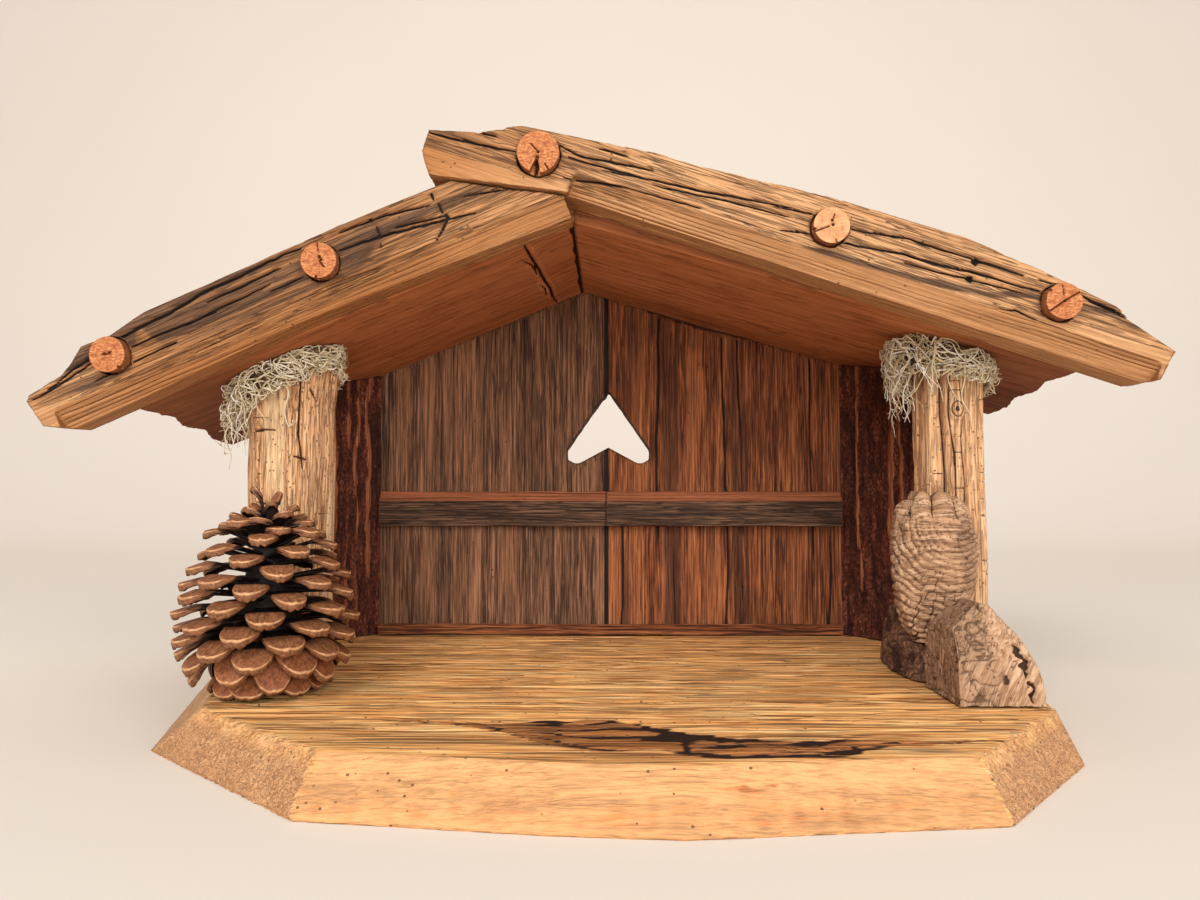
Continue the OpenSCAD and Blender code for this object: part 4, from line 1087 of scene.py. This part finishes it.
def mat_ring(cx, inner, outer, height, seed):
    """Points and faces of the matted heart of a tuft, a lumpy ring pressed up under the roof."""
    turns, sides = 84, 12
    vertices, faces = [], []
    for k in range(turns):
        angle = 2 * math.pi * k / turns
        shrink = 1 - 0.5 * max(0.0, math.cos(angle))
        half = (outer - inner) / 2 * 0.62 * shrink
        deep = tuft_depth(angle, height) * 0.36 * shrink
        for j in range(sides):
            a = 2 * math.pi * j / sides
            radius = inner + half + half * math.cos(a)
            x, y = cx + radius * math.cos(angle), POST_Y + radius * math.sin(angle)
            vertices.append((x, y, roof_under(x) - 0.5 - deep * (1 - math.sin(a))))
            here, there, i = k * sides, (k + 1) % turns * sides, (j + 1) % sides
            faces.append((here + j, here + i, there + i, there + j))
    points = np.array(vertices)
    points[:, 2] -= np.maximum(fibres(points, 2.2, 2.2, seed, 2), 0) * 1.3
    return [Vector(p) for p in points], faces


def make_tuft(node, cx, inner, outer, height, count, seed):
    """A tuft of lichen round a post's head: strands thick at the root and fine at the tip, with forks."""
    rng = random.Random(seed)
    vertices, faces = mat_ring(cx, inner, outer, height, seed)
    tones = [0.0] * len(vertices)
    for k in range(count):
        hang = k % HANG_EVERY == 0
        path = strand(rng, cx, inner, outer, height, hang)
        paths = [(path, rng.uniform(0.24, 0.46))]
        paths += [(fork_of(rng, path), 0.18) for _ in range(rng.randint(0, 2) + (2 if hang else 0))]
        tone = rng.random()
        for points, thick in paths:
            last = len(points) - 1
            rings, quads = tube(points, [thick * (1 - 0.72 * i / last) for i in range(len(points))])
            faces += [tuple(i + len(vertices) for i in f) for f in quads]
            vertices += rings
            tones += [0.14 + tone * 0.60 + 0.26 * (i // TUBE_SIDES) / len(points) for i in range(len(rings))]
    mesh = bpy.data.meshes.new(node + "_strands")
    mesh.from_pydata([v * MM for v in vertices], [], faces)
    keep_marks(mesh, np.array(vertices), marks(np.array(tones)))
    place(node + "_strands", mesh, "lichen", node)


# Pine cone

CONE_SCALES, FOOT_SCALES, CROWN_SCALES = 102, 8, 2
CONE_SEED, CONE_CLEARANCE = 11, 0.2
# Shares along a scale at which it has points, and the one at which its face ends and its lip begins
ALONG_SCALE = [0, 0.15, 0.3, 0.42, 0.52, 0.58, 0.64, 0.69, 0.74, 0.79, 0.83, 0.86, 0.88, 0.905, 0.935,
               0.97, 1.0]
ACROSS_SCALE, LIP_AT = 14, 0.88


def scale_grid():
    """Shares along and across one cone scale, the top's before the underside's, and its faces."""
    across, width, along = ACROSS_SCALE, ACROSS_SCALE + 1, len(ALONG_SCALE) - 1
    grid = [(x, 2 * j / across - 1) for x in ALONG_SCALE for j in range(width)]
    count = len(grid)
    faces = []
    for i in range(along):
        for j in range(across):
            a = i * width + j
            faces.append((a, a + width, a + width + 1, a + 1))
            faces.append((count + a, count + a + 1, count + a + width + 1, count + a + width))
        for a, b in ((i * width, (i + 1) * width), ((i + 1) * width + across, i * width + across)):
            faces.append((a, count + a, count + b, b))
    for i in (0, along):
        for j in range(across):
            a, b = i * width + j, i * width + j + 1
            faces.append((a, b, count + b, count + a) if i == 0 else (b, a, count + a, count + b))
    return np.array(grid + grid), faces


SCALE_GRID, SCALE_FACES = scale_grid()
IS_TOP = np.arange(len(SCALE_GRID)) < len(SCALE_GRID) // 2


def scale_points(length, wide, blade, lip, sag, fold, seed):
    """One scale in its own frame: a blade, a rounded face that bends down to a ridge, and a lip below."""
    x, s = SCALE_GRID.T
    out, past = np.minimum(x / LIP_AT, 1), np.clip((x - LIP_AT) / (1 - LIP_AT), 0, 1)
    plan = 0.60 + 0.40 * ramp(out, 0.30, 0.80)
    rounding = 1 - 0.36 * (1 - np.sqrt(np.maximum(1 - np.abs(s) ** 2.3, 0))) * ramp(out, 0.4, 1.0)
    reach = out * length * rounding
    bend = np.maximum(reach - 0.70 * length, 0)
    umbo = 0.3 * bell(s, 0, 0.09) * ramp(out, 0.72, 0.95)
    rough = noise_at(630, out * length / 1.5, s * wide, seed * 1.7) * 0.12
    z = umbo + rough - fold * bend ** 2 / (bend + 1.0) - sag * length * (reach / length) ** 2
    teeth = ramp(noise_at(620, s * wide * 1.2, 0, seed), 0.1, 0.6)
    lip_deep = lip * (np.maximum(1 - np.abs(s) ** 2.6, 0) ** 0.6) * (0.9 + 0.3 * teeth) + 0.15
    joined = ramp(x, 0.82, 1.0)
    body = blade * (1 - 0.5 * np.abs(s) ** 5) * (1 - joined) + (lip_deep - 0.12) * joined
    z = z - 0.5 * s ** 2 * out ** 2 - np.where(IS_TOP, lip_deep * past, np.maximum(body, 0.12))
    reach = reach - np.where(IS_TOP, 0.7 * past ** 2, 1.5 * ramp(x, 0.8, 1.0))
    return np.stack([reach, plan * wide / 2 * s, z], 1)


def scale_marks(p, length, t):
    """Marks of a scale at height share t: painted shade on its inner part and underside, warmth, pale ridge
    and lip.
    """
    x, s = SCALE_GRID.T
    back_edge = 0.60 - 0.40 * (t < 0.09)
    hollow_shade = np.where(IS_TOP, ramp(p[:, 0] / length, back_edge + 0.1, back_edge), ramp(x, 0.97, 0.88))
    rim = np.where(IS_TOP, ramp(x, 0.845, 0.88) * ramp(x, 0.93, 0.895) * ramp(np.abs(s), 0.98, 0.8), 0.0)
    return marks(hollow_shade, 1 - ramp(t, 0.02, 0.2), rim, np.where(IS_TOP, ramp(x, 0.87, 0.90), 1.0))


def cone_outline(t, radius):
    """Radius over the scales at a share of the cone's height, as the solid has it."""
    if t < 0.3:
        return radius * (0.84 + 0.16 * math.sin(math.radians(300 * t)))
    return radius * math.cos(math.radians(90 * (t - 0.3) / 0.72)) ** 0.75


def cone_scale(i, rng, low, high, centre, radius):
    """Places, grain and marks of scale i, counted up from the foot at steps of the golden angle."""
    height = high.z - low.z
    foot, above = i < FOOT_SCALES, CONE_SCALES - 1 - i
    crown = above < CROWN_SCALES
    t = 0.0 if foot else ((i - FOOT_SCALES) / (CONE_SCALES - FOOT_SCALES - 1)) ** 1.08
    lift = np.interp(t, [0, 0.08, 0.3, 0.55, 0.72, 0.85, 0.96, 1], [-16, -8, -2, 6, 18, 38, 62, 76])
    lift = -14 if foot else lift + rng.uniform(-4, 4)
    lift = math.radians(81 + 5 * above if crown else lift)
    sag = 0.34 if foot else np.interp(t, [0, 0.05, 0.12, 0.25], [0.52, 0.42, 0.12, 0.0])
    core = 5.0 - 3.8 * t
    reach = (cone_outline(t, radius) - core - 0.3) * (0.74 if foot else 1.0)
    length = 10.0 if crown else min(max(reach / math.cos(lift), 7.0), 30.0)
    wide = np.interp(t, [0, 0.1, 0.5, 0.75, 0.9, 0.97, 1], [12.8, 12.2, 10.6, 9.0, 7.2, 4.2, 3.2])
    wide = wide * rng.uniform(0.93, 1.06)
    lip = np.interp(t, [0, 0.1, 0.5, 1], [1.4, 2.2, 2.0, 1.3]) * rng.uniform(0.9, 1.1)
    fold = np.interp(t, [0, 0.1, 0.4, 0.6, 0.8, 1], [0.40, 0.36, 0.34, 0.60, 0.95, 0.80])
    p = scale_points(length, wide, 1.4 - 0.5 * t, lip, sag, fold, i)
    p[:, 1] += rng.uniform(-0.8, 0.8) * SCALE_GRID[:, 0] ** 2
    a, b = math.cos(lift), math.sin(lift)
    turn = i * GOLDEN_ANGLE + rng.uniform(-0.05, 0.05)
    c, d = math.cos(turn), math.sin(turn)
    x, y, z = p[:, 0] * a - p[:, 2] * b + core, p[:, 1], p[:, 0] * b + p[:, 2] * a
    tip_z = (0.2 if foot else 1.4) + t * (height - 6.5) + low.z
    rise = max(tip_z + lip + 1.5 - math.tan(lift) * reach, tip_z - z.min())
    below_top = 0.3 + 1.5 * above if crown else 3.5 + 52 * (1 - t)
    rise = min(rise, high.z - below_top - z.max()) if t > 0.8 else rise
    world = np.stack([x * c - y * d + centre.x, x * d + y * c + centre.y, z + rise], 1)
    return world, p + i * 20.0, scale_marks(p, length, t)


def cone_core(low, high, centre):
    """Points and faces of the core, which is painted black as the shade inside the cone."""
    rings, sides = 14, 20
    points = []
    for k in range(rings + 1):
        h = k / rings
        r = (12.0 * (1 - h ** 1.5) + 0.6) * (1 + 0.08 * math.sin(k * 2.4))
        r *= 0.55 + 0.45 * min(1.0, h / 0.15)
        for j in range(sides):
            a = 2 * math.pi * j / sides
            up = low.z + h * (high.z - low.z - 7)
            points.append((centre.x + r * math.cos(a), centre.y + r * math.sin(a), up))
    pairs = [(k * sides, j, (j + 1) % sides) for k in range(rings) for j in range(sides)]
    faces = [(at + j, at + i, at + sides + i, at + sides + j) for at, j, i in pairs]
    faces += [tuple(reversed(range(sides))), tuple(range(rings * sides, (rings + 1) * sides))]
    return np.array(points), faces


def make_cone():
    """Scales round a core painted black as shade: drooping at the foot, level in the middle, upright at the
    tip.
    """
    low, high = [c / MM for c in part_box("pine_cone")]
    centre = (low + high) / 2
    radius = (high.x - low.x) / 2 - CONE_CLEARANCE
    rng = random.Random(CONE_SEED)
    parts = [cone_scale(i, rng, low, high, centre, radius) for i in range(CONE_SCALES)]
    faces = [tuple(v + i * len(SCALE_GRID) for v in f) for i in range(CONE_SCALES) for f in SCALE_FACES]
    core, core_faces = cone_core(low, high, centre)
    # The core's first share is full, so it is painted black as the shade inside the cone.
    parts.append((core, core, np.tile([1.0, 0, 0, 0], (len(core), 1))))
    faces += [tuple(v + CONE_SCALES * len(SCALE_GRID) for v in f) for f in core_faces]
    points, grain, shares = (np.concatenate(column) for column in zip(*parts))
    points[:, 2] = np.clip(points[:, 2], low.z, high.z)
    middle = np.array([centre.x, centre.y])
    away = points[:, :2] - middle
    far = np.maximum(np.hypot(away[:, 0], away[:, 1]) / radius, 1)
    points[:, :2] = middle + away / far[:, None]
    mesh = bpy.data.meshes.new("pine_cone_scales")
    mesh.from_pydata([tuple(p) for p in points * MM], [], faces)
    keep_marks(mesh, grain, shares)
    place("pine_cone_scales", mesh, "pine_cone", "pine_cone")


# Floor, backdrop and lights

FLOOR_FRONT, FLOOR_BACK, WALL_TOP, STAGE_HALF_WIDTH = -2.5, 0.9, 3.0, 4.0
BEND_R, BEND_STEPS = 0.5, 12


def make_stage():
    """A pale floor that sweeps up into the backdrop."""
    profile = [(FLOOR_FRONT, 0.0), (FLOOR_BACK, 0.0)]
    for i in range(1, BEND_STEPS + 1):
        a = i * math.pi / 2 / BEND_STEPS
        profile.append((FLOOR_BACK + BEND_R * math.sin(a), BEND_R - BEND_R * math.cos(a)))
    profile.append((FLOOR_BACK + BEND_R, WALL_TOP))
    points = [(x, y, z) for y, z in profile for x in (-STAGE_HALF_WIDTH, STAGE_HALF_WIDTH)]
    faces = [(2 * i, 2 * i + 1, 2 * i + 3, 2 * i + 2) for i in range(len(profile) - 1)]
    mesh = bpy.data.meshes.new("sweep")
    mesh.from_pydata(points, [], faces)
    mesh.materials.append(backdrop_look())
    mesh.shade_smooth()
    link("sweep", mesh)


def make_lamp(name, at, aim_z, size, watts):
    data = bpy.data.lights.new(name, "AREA")
    data.shape = "DISK"
    data.size = size
    data.energy = watts
    data.color = (1.0, 0.985, 0.97)
    lamp = link(name, data)
    lamp.location = at
    lamp.rotation_euler = (Vector((0, 0, aim_z)) - Vector(at)).to_track_quat("-Z", "Y").to_euler()


def make_lights():
    """Soft studio light: a key from the upper left, a fill from the right, a low one in front, and sky."""
    world = bpy.data.worlds.new("studio")
    bpy.context.scene.world = world
    world.use_nodes = True
    background = world.node_tree.nodes["Background"]
    background.inputs["Color"].default_value = (0.98, 0.99, 1.0, 1)
    background.inputs["Strength"].default_value = 0.58
    make_lamp("key", (-0.50, -1.15, 0.95), 0.08, 0.8, 12.0)
    make_lamp("fill", (0.70, -1.2, 0.50), 0.08, 0.8, 9.5)
    make_lamp("front", (0.05, -1.4, 0.15), 0.09, 0.6, 6.5)


# Assembly: each piece's grain, the cells of its mesh, its shape and that shape's details

def make_boards():
    carve("base_board", "base_wood", FLAT_GRAIN, 0.75, 3.0, slab_shape)
    carve("back_board_left", "back_wood_grey", UPRIGHT_GRAIN, 0.55, 4.0, back_shape, 71, 0.6, 0.62, 0.5)
    carve("back_board_right", "back_wood_red", UPRIGHT_GRAIN, 0.55, 4.0, back_shape, 91, 1.1, 0.75, 0.62)
    carve("back_skirting", "back_wood_red", FLAT_GRAIN, 0.35, 3.0, rail_shape, 111)
    carve("back_rail_left", "rail_wood", RAIL_GRAIN, 0.35, 3.0, rail_shape, 121)
    carve("back_rail_right", "rail_wood", RAIL_GRAIN, 0.35, 3.0, rail_shape, 131)
    corner_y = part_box("back_board_left")[0].y / MM
    left_strips = [(6.5, 1.1), (12.8, 0.7), (17.5, 0.5), (24.5, 0.9), (34, 0.6), (45, 1.0)]
    right_strips = [(10, 0.4), (26.5, 1.3), (31, 0.8), (43, 0.9)]
    left_wall, right_wall = side_grain(-1, CORNER_LEFT_X, corner_y), side_grain(1, CORNER_RIGHT_X, corner_y)
    carve("side_wall_left", "bark", left_wall, 0.55, 2.0, bark_shape, 141, left_strips, 0.4)
    carve("side_wall_right", "bark", right_wall, 0.55, 2.0, bark_shape, 151, right_strips, 0.9)
    left_roof, right_roof = slope_grain(-1, SLOPE_LEFT, 0), slope_grain(1, SLOPE_RIGHT, 0)
    carve("roof_panel_left", "roof_wood", left_roof, 0.84, 0.76, roof_shape, 161, 159, True, 0.0, 0.2)
    carve("roof_panel_right", "roof_wood", right_roof, 0.77, 1.0, roof_shape, 171, 175, False, 1.0, 0.5)


def make_beams():
    """The beams, with the height of the worn edge, the pale share and the painted sheen's share along each.
    """
    left, right = slope_grain(-1, BEAM_SLOPE_LEFT, -BEAM_DROP), slope_grain(1, BEAM_SLOPE_RIGHT, SEAT_RISE)
    worn_left = ([0, 51, 90, 141, 182], [6.5, 7.5, 5.5, 5, 9])
    pale_left = ([0, 35, 70, 140, 165], [0.5, 0.3, 0.0, 0.0, 0.55])
    carve("roof_beam_left", "beam_wood", left, 0.32, 3.0, beam_shape, 181, LEFT_CRACKS, left_stain,
          worn_left, [], pale_left, ([0, 20, 60], [0.0, 0.5, 0.0]))
    worn_right = ([-50, 0, 40, 90, 150, 192], [0, 3, 5.5, 6, 6.5, 12])
    pale_right = ([-50, -25, 20, 110, 165, 192], [0.0, 0.3, 1.0, 1.0, 0.85, 0.6])
    carve("roof_beam_right", "beam_wood", right, 0.33, 3.2, beam_shape, 191, RIGHT_CRACKS, right_stain_and_shade,
          worn_right, [(127, 19.0), (127, 13.3)], pale_right, ([0, 8, 40, 100], [0.0, 1.0, 1.0, 0.3]))


def make_posts_and_driftwood():
    carve("post_left", "post_wood", UPRIGHT_GRAIN, 0.42, 1.2, left_post_shape)
    carve("post_right", "post_wood", UPRIGHT_GRAIN, 0.42, 1.1, right_post_shape)
    carve("driftwood_burl", "driftwood", FLAT_GRAIN, 0.35, 1.0, burl_shape)
    carve("driftwood_block", "driftwood", FLAT_GRAIN, 0.35, 1.0, block_shape, turn=BLOCK_TURN)
    carve("root_foot", "dark_root", FLAT_GRAIN, 0.4, 1.0, root_shape)


def finish_steel():
    for node in ("base_screws", "roof_nails"):
        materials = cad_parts[node].data.materials
        materials.clear()
        materials.append(LOOKS["fastener_steel"])


make_camera()
make_stage()
make_lights()
make_boards()
make_beams()
make_pegs()
make_posts_and_driftwood()
make_tuft("lichen_left", POST_LEFT_X, 16.0, 20.2, 15.0, 520, 21)
make_tuft("lichen_right", POST_RIGHT_X, 13.8, 18.2, 14.0, 500, 22)
make_cone()
finish_steel()
bpy.context.scene.view_settings.view_transform = "Standard"
